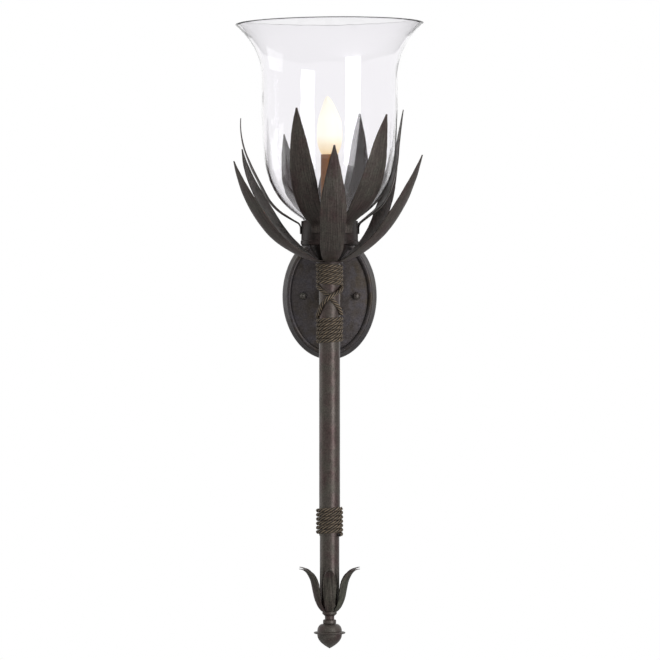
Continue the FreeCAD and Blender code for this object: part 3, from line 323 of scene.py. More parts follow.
def rope_material():
    """Laid cord: a painted highlight on the strands' tops, painted shade where they meet, with fine fibres.
    """
    tint = colours()
    material, tree, shader = new_material("tarred rope with painted highlights and shade")
    height = new_node(tree, "ShaderNodeAttribute", attribute_name="strand_height").outputs["Fac"]
    vector = object_vector(tree)
    fibres = noise_texture(tree, vector, 1500, 3, 0.6)
    patches = spread(tree, noise_texture(tree, vector, 190, 2, 0.5), 0.35, 0.65)
    # Painted highlight on the strands' crests only; lower points keep the painted groove shade.
    top = spread(tree, height, 0.86, 1.04)
    amount = math_node(tree, "MULTIPLY", top, grey_ramp(tree, patches, 0.55, 1.0), clamp=True)
    shade = mix_colour(tree, amount, solid_colour(tint.rope_painted_groove_shade), solid_colour(tint.rope_painted_highlight))
    speck = grey_ramp(tree, spread(tree, fibres, 0.3, 0.7), 0.7, 1.15)
    fill(shader, {"Base Color": mix_colour(tree, 1.0, shade, speck, "MULTIPLY"), "Roughness": 0.72})
    bump(shader, fibres, 0.5, 0.2 * MM)
    return material


def glass_material():
    """Clear blown glass, very faintly lavender."""
    material, tree, shader = new_material("blown glass")
    fill(shader, {"Base Color": solid_colour(colours().glass), "Roughness": 0.0, "IOR": 1.45,
                  "Transmission Weight": 1.0})
    bump(shader, noise_texture(tree, object_vector(tree), 28, 2, 0.4), 0.25, 1.5 * MM)
    return material


def lamp_material():
    """Frosted envelope, alight: brightest in the body, warmer at its foot and a little dimmer at the tip."""
    tint = colours()
    material, tree, shader = new_material("lit frosted glass")
    vector = object_vector(tree)
    height = new_node(tree, "ShaderNodeSeparateXYZ", Vector=vector).outputs["Z"]
    ramp = new_node(tree, "ShaderNodeValToRGB", Fac=spread(tree, height, SLEEVE_TOP, top_of("lamp_envelope")))
    stops = ramp.color_ramp.elements
    stops[0].color = solid_colour(tint.glow_low)
    stops[1].position = 0.32
    stops[1].color = solid_colour(tint.glow)
    stops.new(1.0).color = (0.88, 0.84, 0.72, 1)
    stops.new(0.62).color = solid_colour(tint.glow)
    fill(shader, {"Emission Color": ramp.outputs["Color"], "Emission Strength": 0.92,
                  "Base Color": (0.35, 0.33, 0.28, 1), "Roughness": 0.55})
    bump(shader, noise_texture(tree, vector, 900, 2, 0.5), 0.15, 0.1 * MM)
    return material


def speckled_material(name, base, roughness, metallic, grain_scale=400.0, variation=0.12):
    """Plain finish with a fine uneven tone: plated steel, brass, moulded or wrapped pieces."""
    material, tree, shader = new_material(name)
    grain = spread(tree, noise_texture(tree, object_vector(tree), grain_scale, 3, 0.55), 0.3, 0.7)
    tone = grey_ramp(tree, grain, 1 - variation, 1 + variation)
    fill(shader, {"Base Color": mix_colour(tree, 1.0, solid_colour(base), tone, "MULTIPLY"),
                  "Roughness": grey_ramp(tree, grain, roughness - 0.05, roughness + 0.08),
                  "Metallic": metallic})
    bump(shader, grain, 0.3, 0.05 * MM)
    return material


def dress(material, *names):
    """Puts a material on CAD nodes."""
    for name in names:
        node = NODES[name]
        node.data.materials.clear()
        node.data.materials.append(material)


# ---------------------------------------------------------------- mesh building
def new_piece(name, mesh, material, body, replaced):
    piece = bpy.data.objects.new(name, mesh)
    bpy.context.scene.collection.objects.link(piece)
    mesh.materials.clear()
    mesh.materials.append(material)
    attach(piece, body)
    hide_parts(*replaced)


def outward(mesh):
    """Closes doubled points and turns every face outwards."""
    shape = bmesh.new()
    shape.from_mesh(mesh)
    bmesh.ops.remove_doubles(shape, verts=shape.verts, dist=1e-6)
    bmesh.ops.recalc_face_normals(shape, faces=shape.faces)
    if shape.calc_volume(signed=True) < 0:
        bmesh.ops.reverse_faces(shape, faces=shape.faces)
    shape.to_mesh(mesh)
    shape.free()
    for face in mesh.polygons:
        face.use_smooth = True
    return mesh


def between(table, share):
    """Value of a (share, value) table at a share, straight between its points."""
    for (a, low), (b, high) in zip(table, table[1:]):
        if share <= b:
            return low + (high - low) * (share - a) / (b - a)
    return table[-1][1]


def smooth_between(table, share):
    """The same, eased by averaging over a short stretch."""
    reach = 0.03
    return sum(between(table, min(1, max(0, share + reach * k))) for k in (-1, -0.5, 0, 0.5, 1)) / 5


# ---------------------------------------------------------------- leaves
SHEET = 1.6 * MM
BOW_R = 60 * MM
LOWER_WIDTH = 32.6 * MM
UPPER_WIDTH = 34 * MM
LOWER_FLAT_MM = 3.4     # a leaf's straight root, in mm like its length
UPPER_FLAT_MM = 6.7
UPPER_ROOT_RISE = 14.1 * MM
ROOT_GAP = 0.4 * MM
REACH_SHARE = 0.7
EDGE_THINNING = 0.42    # share of the sheet's thickness that is lost at its edges
HAMMER_WAVES = 62       # waves per metre, about
LOWER_WIDTHS = [(0, 0.40), (0.1, 0.66), (0.2, 0.84), (0.35, 0.91), (0.53, 1), (0.65, 0.91),
                (0.77, 0.66), (0.89, 0.38), (1, 0.04)]
UPPER_WIDTHS = [(0, 0.44), (0.08, 0.53), (0.175, 0.73), (0.3, 0.93), (0.43, 1), (0.56, 0.92),
                (0.67, 0.77), (0.79, 0.58), (0.91, 0.31), (1, 0.04)]
LOWER_BENDS = (0.05, 0.25, 0.5, 0.75, 1.0)
UPPER_BENDS = (0.085, 0.2, 0.4, 0.7, 1.0)
# each leaf: direction from the front towards +X, length in mm, slopes from level in degrees
LOWER_LEAVES = {
    "front": (3, 180.5, (16, 38, 61, 77, 76)),
    "front_right": (64, 177.0, (21, 36, 54, 64, 69)),
    "back_right": (124, 176.0, (24, 42, 66, 76, 79)),
    "back": (182, 178.0, (22, 38, 58, 70, 74)),
    "back_left": (-116, 183.0, (29, 41, 55, 64, 80)),
    "front_left": (-60, 178.5, (16, 28, 50, 61, 71)),
}
# an upper leaf also says how far from the stem's axis it stands at REACH_SHARE of its length, in mm
UPPER_LEAVES = {
    "front_right": (36, 168.0, (33, 35, 54, 75, 69), 100.3),
    "right": (99, 168.5, (39, 37, 71, 86, 80), 84.7),
    "back_right": (154, 168.0, (31, 41, 66, 90, 88), 85.3),
    "back_left": (-152, 166.5, (29, 20, 40, 70, 80), 113.2),
    "left": (-90, 167.0, (28, 32, 61, 68, 94), 100.0),
    "front_left": (-24.5, 167.0, (24, 48, 66, 78, 86), 88.2),
}


class LeafLaw:
    """Midline, width and section of one leaf, as in the solids."""

    def __init__(self, root, length_mm, table, full_width, widths, direction, reach=None, thickness=SHEET,
                 bow=BOW_R, taper=(0.35, 8)):
        self.length = length_mm * MM
        self.full_width = full_width
        self.widths = widths
        self.thickness = thickness
        self.bow = bow
        self.taper = taper
        turn = math.radians(direction)
        self.out = Vector((math.sin(turn), -math.cos(turn), 0))
        self.across = Vector((math.cos(turn), math.sin(turn), 0))
        self.line = self.walk(root, table)
        if reach:
            natural = self.at(REACH_SHARE)[0] - root[0]
            scale = (reach - root[0]) / natural
            self.line = [(root[0] + (r - root[0]) * scale, z, slope) for r, z, slope in self.line]

    def walk(self, root, table):
        steps = 240
        radius, height = root
        line = []
        for k in range(steps + 1):
            slope = math.radians(between(table, k / steps))
            line.append((radius, height, slope))
            radius += math.cos(slope) * self.length / steps
            height += math.sin(slope) * self.length / steps
        return line

    def at(self, share):
        place = share * (len(self.line) - 1)
        k = min(int(place), len(self.line) - 2)
        part = place - k
        return tuple(a + (b - a) * part for a, b in zip(self.line[k], self.line[k + 1]))

    def point(self, share, side):
        """Place at a share of the length, side -1..1 across, with the way inwards and the distance aside."""
        radius, height, slope = self.at(share)
        inward = self.out * -math.sin(slope) + Vector((0, 0, math.cos(slope)))
        width = self.full_width * smooth_between(self.widths, share)
        lateral = width / 2 * side
        middle = self.out * radius + Vector((0, AXIS_Y, height))
        return middle + self.across * lateral + inward * (lateral ** 2 / (2 * self.bow)), inward, lateral


def leaf_mesh(name, law, rows=110, columns=57, ribs=1.0):
    """Closed leaf with veins along it, hammer waves, and edges forged a little thinner."""
    size = sizes()
    spacing = size.vein_spacing * math.sqrt(ribs)
    depth = size.vein_depth * ribs
    shape = bmesh.new()
    layer = shape.loops.layers.uv.new("leaf")
    sheets = []
    seed = Vector((law.line[-1][0] * 90, law.line[-1][1] * 70, law.length * 50))
    for level in (-1, 1):
        grid = []
        for i in range(rows + 1):
            share = i / rows
            line = []
            for j in range(columns + 1):
                side = -1 + 2 * j / columns
                place, inward, lateral = law.point(share, side)
                wave = noise.noise(place * HAMMER_WAVES + seed) * size.forging_depth
                fade = min(1, share * 14, (1 - share) * 8)
                vein = vein_height(lateral, share, spacing) * depth * fade
                thin = 1 - EDGE_THINNING * abs(side) ** 6
                tip = 1 - law.taper[0] * share ** law.taper[1]
                offset = level * (law.thickness / 2 * thin * tip - max(0, vein)) + wave * fade
                ragged = noise.noise(Vector((share * 26, side * 3, 0)) + seed)
                edge = ragged * 0.35 * MM * fade * abs(side) ** 4
                line.append(shape.verts.new(place + inward * offset + law.across * edge))
            grid.append(line)
        sheets.append(grid)
    low, high = sheets

    def face(corners, marks):
        made = shape.faces.new(corners)
        for loop, mark in zip(made.loops, marks):
            loop[layer].uv = mark

    def mark(i, j):
        side = -1 + 2 * j / columns
        width = law.full_width * smooth_between(law.widths, i / rows)
        return (width / 2 * side, i / rows * law.length)

    for i in range(rows):
        for j in range(columns):
            marks = [mark(i, j), mark(i, j + 1), mark(i + 1, j + 1), mark(i + 1, j)]
            face([low[i][j], low[i][j + 1], low[i + 1][j + 1], low[i + 1][j]], marks)
            face([high[i][j], high[i + 1][j], high[i + 1][j + 1], high[i][j + 1]],
                 [marks[0], marks[3], marks[2], marks[1]])
        for j in (0, columns):
            marks = [mark(i, j), mark(i + 1, j), mark(i + 1, j), mark(i, j)]
            face([low[i][j], low[i + 1][j], high[i + 1][j], high[i][j]], marks)
    for i in (0, rows):
        for j in range(columns):
            marks = [mark(i, j), mark(i, j + 1), mark(i, j + 1), mark(i, j)]
            face([low[i][j], low[i][j + 1], high[i][j + 1], high[i][j]], marks)
    mesh = bpy.data.meshes.new(name)
    shape.to_mesh(mesh)
    shape.free()
    return outward(mesh)


def vein_height(lateral, share, spacing):
    """Depth of the drawn veins, 0..1, across a leaf: rounded grooves that wander slightly."""
    wander = 0.18 * math.sin(share * 9 + lateral * 400)
    phase = (lateral / spacing + wander) % 1.0
    groove = math.exp(-((phase - 0.5) / 0.13) ** 2)
    strength = 0.5 + 0.5 * noise.noise(Vector((round(lateral / spacing), share * 5, 0)))
    return groove * strength


def lower_law(name):
    direction, length_mm, slopes = LOWER_LEAVES[name]
    # the roots stand side by side: two neighbours' corners meet at this distance from the axis
    meeting_r = LOWER_WIDTH * LOWER_WIDTHS[0][1] / 2 / math.tan(math.radians(180 / len(LOWER_LEAVES)))
    root = (max(STEM_R - 0.5 * MM, meeting_r) + ROOT_GAP, top_of("leaf_ring") + SHEET / 2)
    bends = bend_table(LOWER_FLAT_MM, length_mm, 0, LOWER_BENDS, slopes)
    return LeafLaw(root, length_mm, bends, LOWER_WIDTH, LOWER_WIDTHS, direction)


def upper_law(name):
    direction, length_mm, slopes, reach = UPPER_LEAVES[name]
    root = (CUP_R + SHEET / 2 + 0.05 * MM, HUB_TOP + UPPER_ROOT_RISE)
    bends = bend_table(UPPER_FLAT_MM, length_mm, 90, UPPER_BENDS, slopes)
    return LeafLaw(root, length_mm, bends, UPPER_WIDTH, UPPER_WIDTHS, direction, reach * MM)


def bend_table(flat_mm, length_mm, root_slope, bends, slopes):
    """Slopes along a leaf: (share of the length, degrees from level), after its straight root."""
    return [(0, root_slope), (flat_mm / length_mm, root_slope)] + list(zip(bends, slopes))


FOOT_LEAF_COUNT = 6
FOOT_LENGTH_MM = 65
FOOT_WIDTH = 17 * MM
FOOT_SHEET = 2 * MM
FOOT_BOW_R = 14 * MM
FOOT_ROOT_R = 9.4 * MM
FOOT_ROOT_DROP = 5.6 * MM
FOOT_WIDTHS = [(0, 0.56), (0.12, 0.66), (0.3, 0.86), (0.52, 1), (0.7, 0.84), (0.86, 0.46), (1, 0.07)]
FOOT_BENDS = [(0, 40), (0.14, 62), (0.33, 76), (0.56, 76), (0.75, 54), (0.88, 28), (1, 2)]


def foot_law():
    """The small cast leaf that faces the front."""
    root = (FOOT_ROOT_R, FOOT_END - FOOT_ROOT_DROP)
    return LeafLaw(root, FOOT_LENGTH_MM, FOOT_BENDS, FOOT_WIDTH, FOOT_WIDTHS, 0, thickness=FOOT_SHEET,
                   bow=FOOT_BOW_R, taper=(0.6, 2))


# ---------------------------------------------------------------- geometry node trees
def new_geometry_group(name, *inputs):
    """Geometry node group with (name, socket kind) inputs between the geometry and the material."""
    ends = ("Geometry", "Geometry")
    return new_group(name, "GeometryNodeTree", [ends, *inputs, ("Material", "Material")], [ends])


def finish_tree(group, geometry, given, out):
    """Ends a tree: copies made real, in the piece's own material."""
    real = new_node(group, "GeometryNodeRealizeInstances", Geometry=geometry).outputs["Geometry"]
    paint = new_node(group, "GeometryNodeSetMaterial", Geometry=real, Material=given["Material"])
    fill(out, {"Geometry": paint.outputs["Geometry"]})


def grow(name, host_mesh, group, values):
    """Runs a geometry node group on a host mesh and returns the result as a plain mesh."""
    host = bpy.data.objects.new(name + "_host", host_mesh)
    bpy.context.scene.collection.objects.link(host)
    modifier = host.modifiers.new("grow", "NODES")
    modifier.node_group = group
    for item in group.interface.items_tree:
        if item.item_type == "SOCKET" and item.in_out == "INPUT" and item.name in values:
            modifier[item.identifier] = values[item.name]
    graph = bpy.context.evaluated_depsgraph_get()
    mesh = bpy.data.meshes.new_from_object(host.evaluated_get(graph), preserve_all_data_layers=True,
                                           depsgraph=graph)
    mesh.name = name
    host.modifiers.remove(modifier)
    bpy.data.objects.remove(host)
    return mesh


def line_mesh(name, points):
    mesh = bpy.data.meshes.new(name)
    mesh.from_pydata([tuple(point) for point in points], [(k, k + 1) for k in range(len(points) - 1)], [])
    return mesh


def rope_group():
    """Laid rope along a line of points: strands twisted round it, with their height kept as an attribute."""
    group, given, out = new_geometry_group("laid rope", ("Rope Radius", "Float"), ("Lay", "Float"),
                                           ("Strands", "Int"), ("Step", "Float"), ("Sides", "Int"))
    radius = given["Rope Radius"]
    strands = given["Strands"]
    curve = new_node(group, "GeometryNodeMeshToCurve", Mesh=given["Geometry"]).outputs["Curve"]
    smooth = new_node(group, "GeometryNodeCurveSplineType", spline_type="CATMULL_ROM", Curve=curve)
    fine = new_node(group, "GeometryNodeResampleCurve", mode="LENGTH", Curve=smooth.outputs["Curve"],
                    Length=given["Step"])
    copies = new_node(group, "GeometryNodeDuplicateElements", domain="SPLINE", Geometry=fine.outputs["Curve"],
                      Amount=strands)
    # each strand turns round the rope's line, a share of a turn behind the one before
    along = new_node(group, "GeometryNodeSplineParameter").outputs["Length"]
    turns = math_node(group, "DIVIDE", along, given["Lay"])
    share = math_node(group, "DIVIDE", copies.outputs["Duplicate Index"], strands)
    angle = math_node(group, "MULTIPLY", math_node(group, "ADD", turns, share), -2 * math.pi)
    normal = new_node(group, "GeometryNodeInputNormal").outputs["Normal"]
    tangent = new_node(group, "GeometryNodeInputTangent").outputs["Tangent"]
    side = vector_math(group, "CROSS_PRODUCT", tangent, normal)
    first = scaled(group, normal, math_node(group, "COSINE", angle))
    second = scaled(group, side, math_node(group, "SINE", angle))
    # strands that touch each other have this part of the rope's radius
    half_sine = math_node(group, "SINE", math_node(group, "DIVIDE", math.pi, strands))
    part = math_node(group, "DIVIDE", half_sine, math_node(group, "ADD", half_sine, 1.0))
    reach = math_node(group, "MULTIPLY", math_node(group, "SUBTRACT", 1.0, part), radius)
    strand = math_node(group, "MULTIPLY", math_node(group, "MULTIPLY", part, 1.05), radius)
    position = new_node(group, "GeometryNodeInputPosition").outputs["Position"]
    centre = new_node(group, "GeometryNodeStoreNamedAttribute", data_type="FLOAT_VECTOR", domain="POINT",
                      Geometry=copies.outputs["Geometry"], Name="middle", Value=position)
    place = new_node(group, "GeometryNodeSetPosition", Geometry=centre.outputs["Geometry"],
                     Offset=scaled(group, vector_math(group, "ADD", first, second), reach))
    profile = new_node(group, "GeometryNodeCurvePrimitiveCircle", Resolution=given["Sides"], Radius=strand)
    tube = new_node(group, "GeometryNodeCurveToMesh", Curve=place.outputs["Geometry"],
                    Profile_Curve=profile.outputs["Curve"], Fill_Caps=True)
    middle = new_node(group, "GeometryNodeInputNamedAttribute", data_type="FLOAT_VECTOR", Name="middle")
    away = vector_math(group, "SUBTRACT", position, middle.outputs["Attribute"])
    height = math_node(group, "DIVIDE", vector_math(group, "LENGTH", away), radius)
    keep = new_node(group, "GeometryNodeStoreNamedAttribute", data_type="FLOAT", domain="POINT",
                    Geometry=tube.outputs["Mesh"], Name="strand_height", Value=height)
    finish_tree(group, keep.outputs["Geometry"], given, out)
    return group


def whorl_group():
    """Copies of one leaf, drawn round the origin, set evenly round the stem's axis."""
    group, given, out = new_geometry_group("whorl", ("Count", "Int"), ("Axis", "Vector"))
    line = new_node(group, "GeometryNodeMeshLine", Count=given["Count"], Start_Location=given["Axis"],
                    Offset=(0.0, 0.0, 0.0))
    index = new_node(group, "GeometryNodeInputIndex").outputs["Index"]
    share = math_node(group, "DIVIDE", index, given["Count"])
    turn = new_node(group, "ShaderNodeCombineXYZ", Z=math_node(group, "MULTIPLY", share, 2 * math.pi))
    copies = new_node(group, "GeometryNodeInstanceOnPoints", Points=line.outputs["Mesh"],
                      Instance=given["Geometry"], Rotation=turn.outputs["Vector"])
    finish_tree(group, copies.outputs["Instances"], given, out)
    return group


def lathe_group():
    """Body of revolution: the host's points are a closed outline in the XZ plane, turned round Z."""
    group, given, out = new_geometry_group(
        "lathe", ("Points", "Int"), ("Segments", "Int"), ("Axis", "Vector"), ("Unevenness", "Float"),
        ("Tilt", "Float"), ("Tilt From", "Float"), ("Tilt To", "Float"))
    grid = new_node(group, "GeometryNodeMeshGrid", Size_X=1.0, Size_Y=1.0,
                    Vertices_X=math_node(group, "ADD", given["Points"], 1),
                    Vertices_Y=math_node(group, "ADD", given["Segments"], 1))
    position = new_node(group, "GeometryNodeInputPosition").outputs["Position"]
    split = new_node(group, "ShaderNodeSeparateXYZ", Vector=position).outputs
    column = math_node(group, "MULTIPLY", math_node(group, "ADD", split["X"], 0.5), given["Points"])
    column = math_node(group, "MODULO", math_node(group, "ROUND", column), given["Points"])
    sample = new_node(group, "GeometryNodeSampleIndex", data_type="FLOAT_VECTOR", domain="POINT",
                      Geometry=given["Geometry"], Value=position, Index=column)
    outline = new_node(group, "ShaderNodeSeparateXYZ", Vector=sample.outputs["Value"]).outputs
    around = math_node(group, "MULTIPLY", math_node(group, "ADD", split["Y"], 0.5), 2 * math.pi)
    cosine = math_node(group, "COSINE", around)
    sine = math_node(group, "SINE", around)
    # the rim leans down on the left, by nothing at Tilt From and in full at Tilt To
    rise = new_node(group, "ShaderNodeMapRange", interpolation_type="SMOOTHSTEP", Value=outline["Z"],
                    From_Min=given["Tilt From"], From_Max=given["Tilt To"]).outputs["Result"]
    lean = math_node(group, "MULTIPLY", math_node(group, "SUBTRACT", cosine, 1), 0.5)
    drop = math_node(group, "MULTIPLY", math_node(group, "MULTIPLY", lean, given["Tilt"]), rise)
    turned = new_node(group, "ShaderNodeCombineXYZ", X=math_node(group, "MULTIPLY", outline["X"], cosine),
                      Y=math_node(group, "MULTIPLY", outline["X"], sine),
                      Z=math_node(group, "ADD", outline["Z"], drop)).outputs["Vector"]
    blown = new_node(group, "ShaderNodeTexNoise", Scale=9.0, Detail=1.0, Vector=turned).outputs["Fac"]
    wobble = math_node(group, "MULTIPLY", math_node(group, "SUBTRACT", blown, 0.5), given["Unevenness"])
    outwards = new_node(group, "ShaderNodeCombineXYZ", X=cosine, Y=sine).outputs["Vector"]
    moved = vector_math(group, "ADD", turned, scaled(group, outwards, wobble))
    place = new_node(group, "GeometryNodeSetPosition", Geometry=grid.outputs["Mesh"],
                     Position=vector_math(group, "ADD", moved, given["Axis"]))
    weld = new_node(group, "GeometryNodeMergeByDistance", Geometry=place.outputs["Geometry"], Distance=1e-6)
    finish_tree(group, weld.outputs["Geometry"], given, out)
    return group


# ---------------------------------------------------------------- rope routes
ROPE_PATH_R = STEM_R + 1.5 * MM
ROPE_STEP = 0.7 * MM
ROPE_SIDES = 10
BAND_TOP = STEM_TOP - 2.2 * MM
TOP_PITCH = 4.9 * MM
MIDDLE_PITCH = 5.0 * MM
BOTTOM_PITCH = 5.2 * MM
TOP_TURNS = 5
MIDDLE_TURNS = 6
BOTTOM_TURNS = 6
BOTTOM_TOP = foot_of("stem_upper") + 32.5 * MM
CROSS_DROP = 38.2 * MM
CROSS_OFFSET = 2.4 * MM
CROSS_LIFT = 4.5 * MM
# each crossing strand, from side to side: share of the half turn, share of the fall (and of the lift)
UNDER_STRAND = [(-0.06, 0), (0.06, 0.035), (0.22, 0.14), (0.52, 0.39), (0.78, 0.7), (0.9, 0.86)]
OVER_STRAND = [(-0.03, 0, 0.05), (0.05, 0.02, 0.1), (0.24, 0.14, 0.5), (0.49, 0.325, 1), (0.68, 0.55, 0.45),
               (0.83, 0.79, 0), (0.93, 0.92, 0), (1.045, 0.997, 0)]


def winding(first_turn, way, count, pitch, top, step=30):
    steps = 360 * count // step
    return [(first_turn + way * step * k, top - pitch * step * k / 360, 0) for k in range(steps + 1)]


def top_route():
    nodes = winding(-90, 1, TOP_TURNS, TOP_PITCH, BAND_TOP)
    turn, height, lift = nodes.pop()
    for share, drop in UNDER_STRAND:
        nodes.append((turn + 180 * share, height - CROSS_DROP * drop, 0))
    return nodes


def middle_route():
    start = BAND_TOP - TOP_PITCH * TOP_TURNS - CROSS_OFFSET
    fall = CROSS_DROP - MIDDLE_PITCH / 2
    nodes = [(90 - 180 * share, start - fall * drop, CROSS_LIFT * lift) for share, drop, lift in OVER_STRAND]
    return nodes + winding(-135, -1, MIDDLE_TURNS, MIDDLE_PITCH, start - fall - MIDDLE_PITCH / 8)


def bottom_route():
    return winding(60, -1, BOTTOM_TURNS, BOTTOM_PITCH, BOTTOM_TOP)


def route_points(nodes):
    points = []
    for turn, height, lift in nodes:
        angle = math.radians(turn)
        radius = ROPE_PATH_R + lift
        points.append(Vector((radius * math.sin(angle), AXIS_Y - radius * math.cos(angle), height)))
    tail = 3.2 * MM
    first = points[0] + (points[0] - points[1]).normalized() * tail
    last = points[-1] + (points[-1] - points[-2]).normalized() * tail
    return [first] + points + [last]


# ---------------------------------------------------------------- operators
class Dresser(bpy.types.Operator):
    """Base of the operators below."""
    bl_options = {"REGISTER", "UNDO"}


class SCONCE_OT_stage(Dresser):
    """Make the floor, the soft lights, the white surroundings and the camera."""
    bl_idname = "sconce.stage"
    bl_label = "Stage"

    def execute(self, context):
        make_camera(context.scene)
        make_world(context.scene)
        make_floor()
        make_lights()
        return {"FINISHED"}


# The camera stands straight in front, level with a point on the stem.
CAMERA_DISTANCE = 5.05
CAMERA_Z = -0.0423
CAMERA_X = 0.0005
FIELD_PIXELS = 660
FOCAL_PIXELS = 4154.7
SENSOR = 36.0
DAYLIGHT = 0.36
FLOOR_HALF = 4.0
FLOOR_DROP = 0.35       # gap between the object's lowest point and the floor


def make_camera(scene):
    data = bpy.data.cameras.new("camera")
    data.sensor_width = SENSOR
    data.lens = SENSOR * FOCAL_PIXELS / FIELD_PIXELS
    data.clip_end = 100
    camera = bpy.data.objects.new("camera", data)
    camera.location = (CAMERA_X, AXIS_Y - CAMERA_DISTANCE, CAMERA_Z)
    camera.rotation_euler = (math.radians(90), 0, 0)
    scene.collection.objects.link(camera)
    scene.camera = camera


def make_world(scene):
    """White to the camera and in glass and metal, softer as light on the object."""
    world = bpy.data.worlds.new("surroundings")
    world.use_nodes = True
    tree = world.node_tree
    tree.nodes.clear()
    path = new_node(tree, "ShaderNodeLightPath").outputs
    seen = math_node(tree, "ADD", path["Is Camera Ray"], path["Is Glossy Ray"])
    seen = math_node(tree, "ADD", seen, path["Is Transmission Ray"], clamp=True)
    soft = new_node(tree, "ShaderNodeBackground", Color=(1, 1, 1, 1), Strength=DAYLIGHT)
    white = new_node(tree, "ShaderNodeBackground", Color=(1, 1, 1, 1), Strength=1.0)
    mix = fill(new_node(tree, "ShaderNodeMixShader"), {0: seen, 1: soft.outputs[0], 2: white.outputs[0]})
    new_node(tree, "ShaderNodeOutputWorld", Surface=mix.outputs[0])
    scene.world = world
    scene.view_settings.view_transform = "Standard"


def make_floor():
    material, tree, shader = new_material("pale floor")
    tone = grey_ramp(tree, noise_texture(tree, object_vector(tree), 3, 2, 0.5), 0.86, 0.9)
    fill(shader, {"Base Color": tone, "Roughness": 0.8})
    mesh = bpy.data.meshes.new("floor")
    signs = ((-1, -1), (1, -1), (1, 1), (-1, 1))
    corners = [(x * FLOOR_HALF, y * FLOOR_HALF, CAD_BOX[0][2] - FLOOR_DROP) for x, y in signs]
    mesh.from_pydata(corners, [], [(0, 1, 2, 3)])
    mesh.materials.append(material)
    floor = bpy.data.objects.new("floor", mesh)
    bpy.context.scene.collection.objects.link(floor)


def area_light(name, place, target, width, height, power, tint=(1, 1, 1)):
    data = bpy.data.lights.new(name, "AREA")
    data.shape = "RECTANGLE"
    data.size = width
    data.size_y = height
    data.energy = power
    data.color = tint
    lamp = bpy.data.objects.new(name, data)
    lamp.location = place
    lamp.rotation_euler = (Vector(target) - Vector(place)).to_track_quat("-Z", "Y").to_euler()
    bpy.context.scene.collection.objects.link(lamp)


def make_lights():
    heart = (0, AXIS_Y, -0.02)
    area_light("tall key at the right", (1.72, -2.2, -0.1), heart, 1.25, 3.0, 64, (0.97, 0.96, 1.0))
    area_light("low fill at the left", (-2.5, 0.45, -0.55), heart, 1.8, 1.5, 8.8)


class SCONCE_OT_iron(Dresser):
    """Finish the plate, arm, stem, hub and cup as hammered bronzed iron."""
    bl_idname = "sconce.iron"
    bl_label = "Iron"

    def execute(self, context):
        tint = colours()
        plate = iron_material("bronzed plate", tint.plate, tint.plate_warm, tint.plate_cool, 70, 0.3 * MM,
                              0.48, 0.8)
        dress(plate, "backplate", "arm_tube", "arm_flange")
        stem = iron_material("hammered stem", tint.stem, tint.iron_warm, tint.iron_cool, 95, 0.45 * MM, 0.4,
                             0.55)
        dress(stem, "stem_upper", "stem_lower")
        # The hub, cup and leaf ring take the near-black colour: painted shade where they lie in shadow among
        # the leaves.
        shade_painted = iron_material("sooty iron", tint.shaded, tint.shaded, tint.iron_warm, 95, 0.4 * MM, 0.5)
        dress(shade_painted, "hub", "cup", "leaf_ring")
        nut = iron_material("bronzed nuts", tint.cast, tint.iron_warm, tint.iron_cool, 200, 0.1 * MM, 0.36)
        dress(nut, "cap_nut_left", "cap_nut_right")
        cast = iron_material("cast foot", tint.cast, tint.iron_warm, tint.iron_cool, 260, 0.3 * MM, 0.45)
        dress(cast, "foot_cup", "foot_spool", "acorn", "acorn_ring")
        return {"FINISHED"}


class SCONCE_OT_leaves(Dresser):
    """Forge the twelve long leaves, six on the stem's top and six on the cup."""
    bl_idname = "sconce.leaves"
    bl_label = "Leaves"

    def execute(self, context):
        material = leaf_material("forged leaf", colours().iron, 750.0, 0.62, 1.25)
        laws = {"lower_leaf_" + name: lower_law(name) for name in LOWER_LEAVES}
        laws.update({"upper_leaf_" + name: upper_law(name) for name in UPPER_LEAVES})
        for name, law in laws.items():
            mesh = leaf_mesh("forged_" + name, law)
            new_piece("forged_" + name, mesh, material, "fixture", [name])
        return {"FINISHED"}


class SCONCE_OT_foot(Dresser):
    """Cast the six small ribbed leaves of the foot, set evenly round the stem."""
    bl_idname = "sconce.foot"
    bl_label = "Foot leaves"

    def execute(self, context):
        material = leaf_material("cast leaves", colours().cast_leaf, 420.0, 0.5, 1.35)
        mesh = leaf_mesh("cast_leaf", foot_law(), rows=64, columns=31, ribs=4.0)
        for vertex in mesh.vertices:
            vertex.co.y -= AXIS_Y
        whorl = grow("cast_foot_leaves", mesh, whorl_group(), {
            "Count": FOOT_LEAF_COUNT, "Axis": (0.0, AXIS_Y, 0.0), "Material": material})
        nodes = ["foot_leaf_%d" % (k + 1) for k in range(FOOT_LEAF_COUNT)]
        new_piece("cast_foot_leaves", outward(whorl), material, "fixture", nodes)
        return {"FINISHED"}


class SCONCE_OT_ropes(Dresser):
    """Lay the three rope bands and the two crossing strands."""
    bl_idname = "sconce.ropes"
    bl_label = "Ropes"

    def execute(self, context):
        size = sizes()
        material = rope_material()
        group = rope_group()
        routes = {"rope_top": top_route(), "rope_middle": middle_route(), "rope_bottom": bottom_route()}
        for name, nodes in routes.items():
            host = line_mesh(name + "_route", route_points(nodes))
            mesh = grow("laid_" + name, host, group, {
                "Rope Radius": size.rope_diameter / 2, "Lay": size.rope_lay, "Strands": size.rope_strands,
                "Step": ROPE_STEP, "Sides": ROPE_SIDES, "Material": material})
            new_piece("laid_" + name, outward(mesh), material, "fixture", [name])
        return {"FINISHED"}


GLASS_H = 265.3 * MM
GLASS_NECK_R = 31.5 * MM
GLASS_BODY_R = 82.7 * MM
GLASS_FLARE = 31.8 * MM
GLASS_SHOULDER_H = 134 * MM
GLASS_FLARE_H = 70.7 * MM
GLASS_UNEVENNESS = 0.7 * MM
GLASS_SEGMENTS = 256
TILT_BAND = 0.12        # the rim's tilt fades out over this much of the bell's height


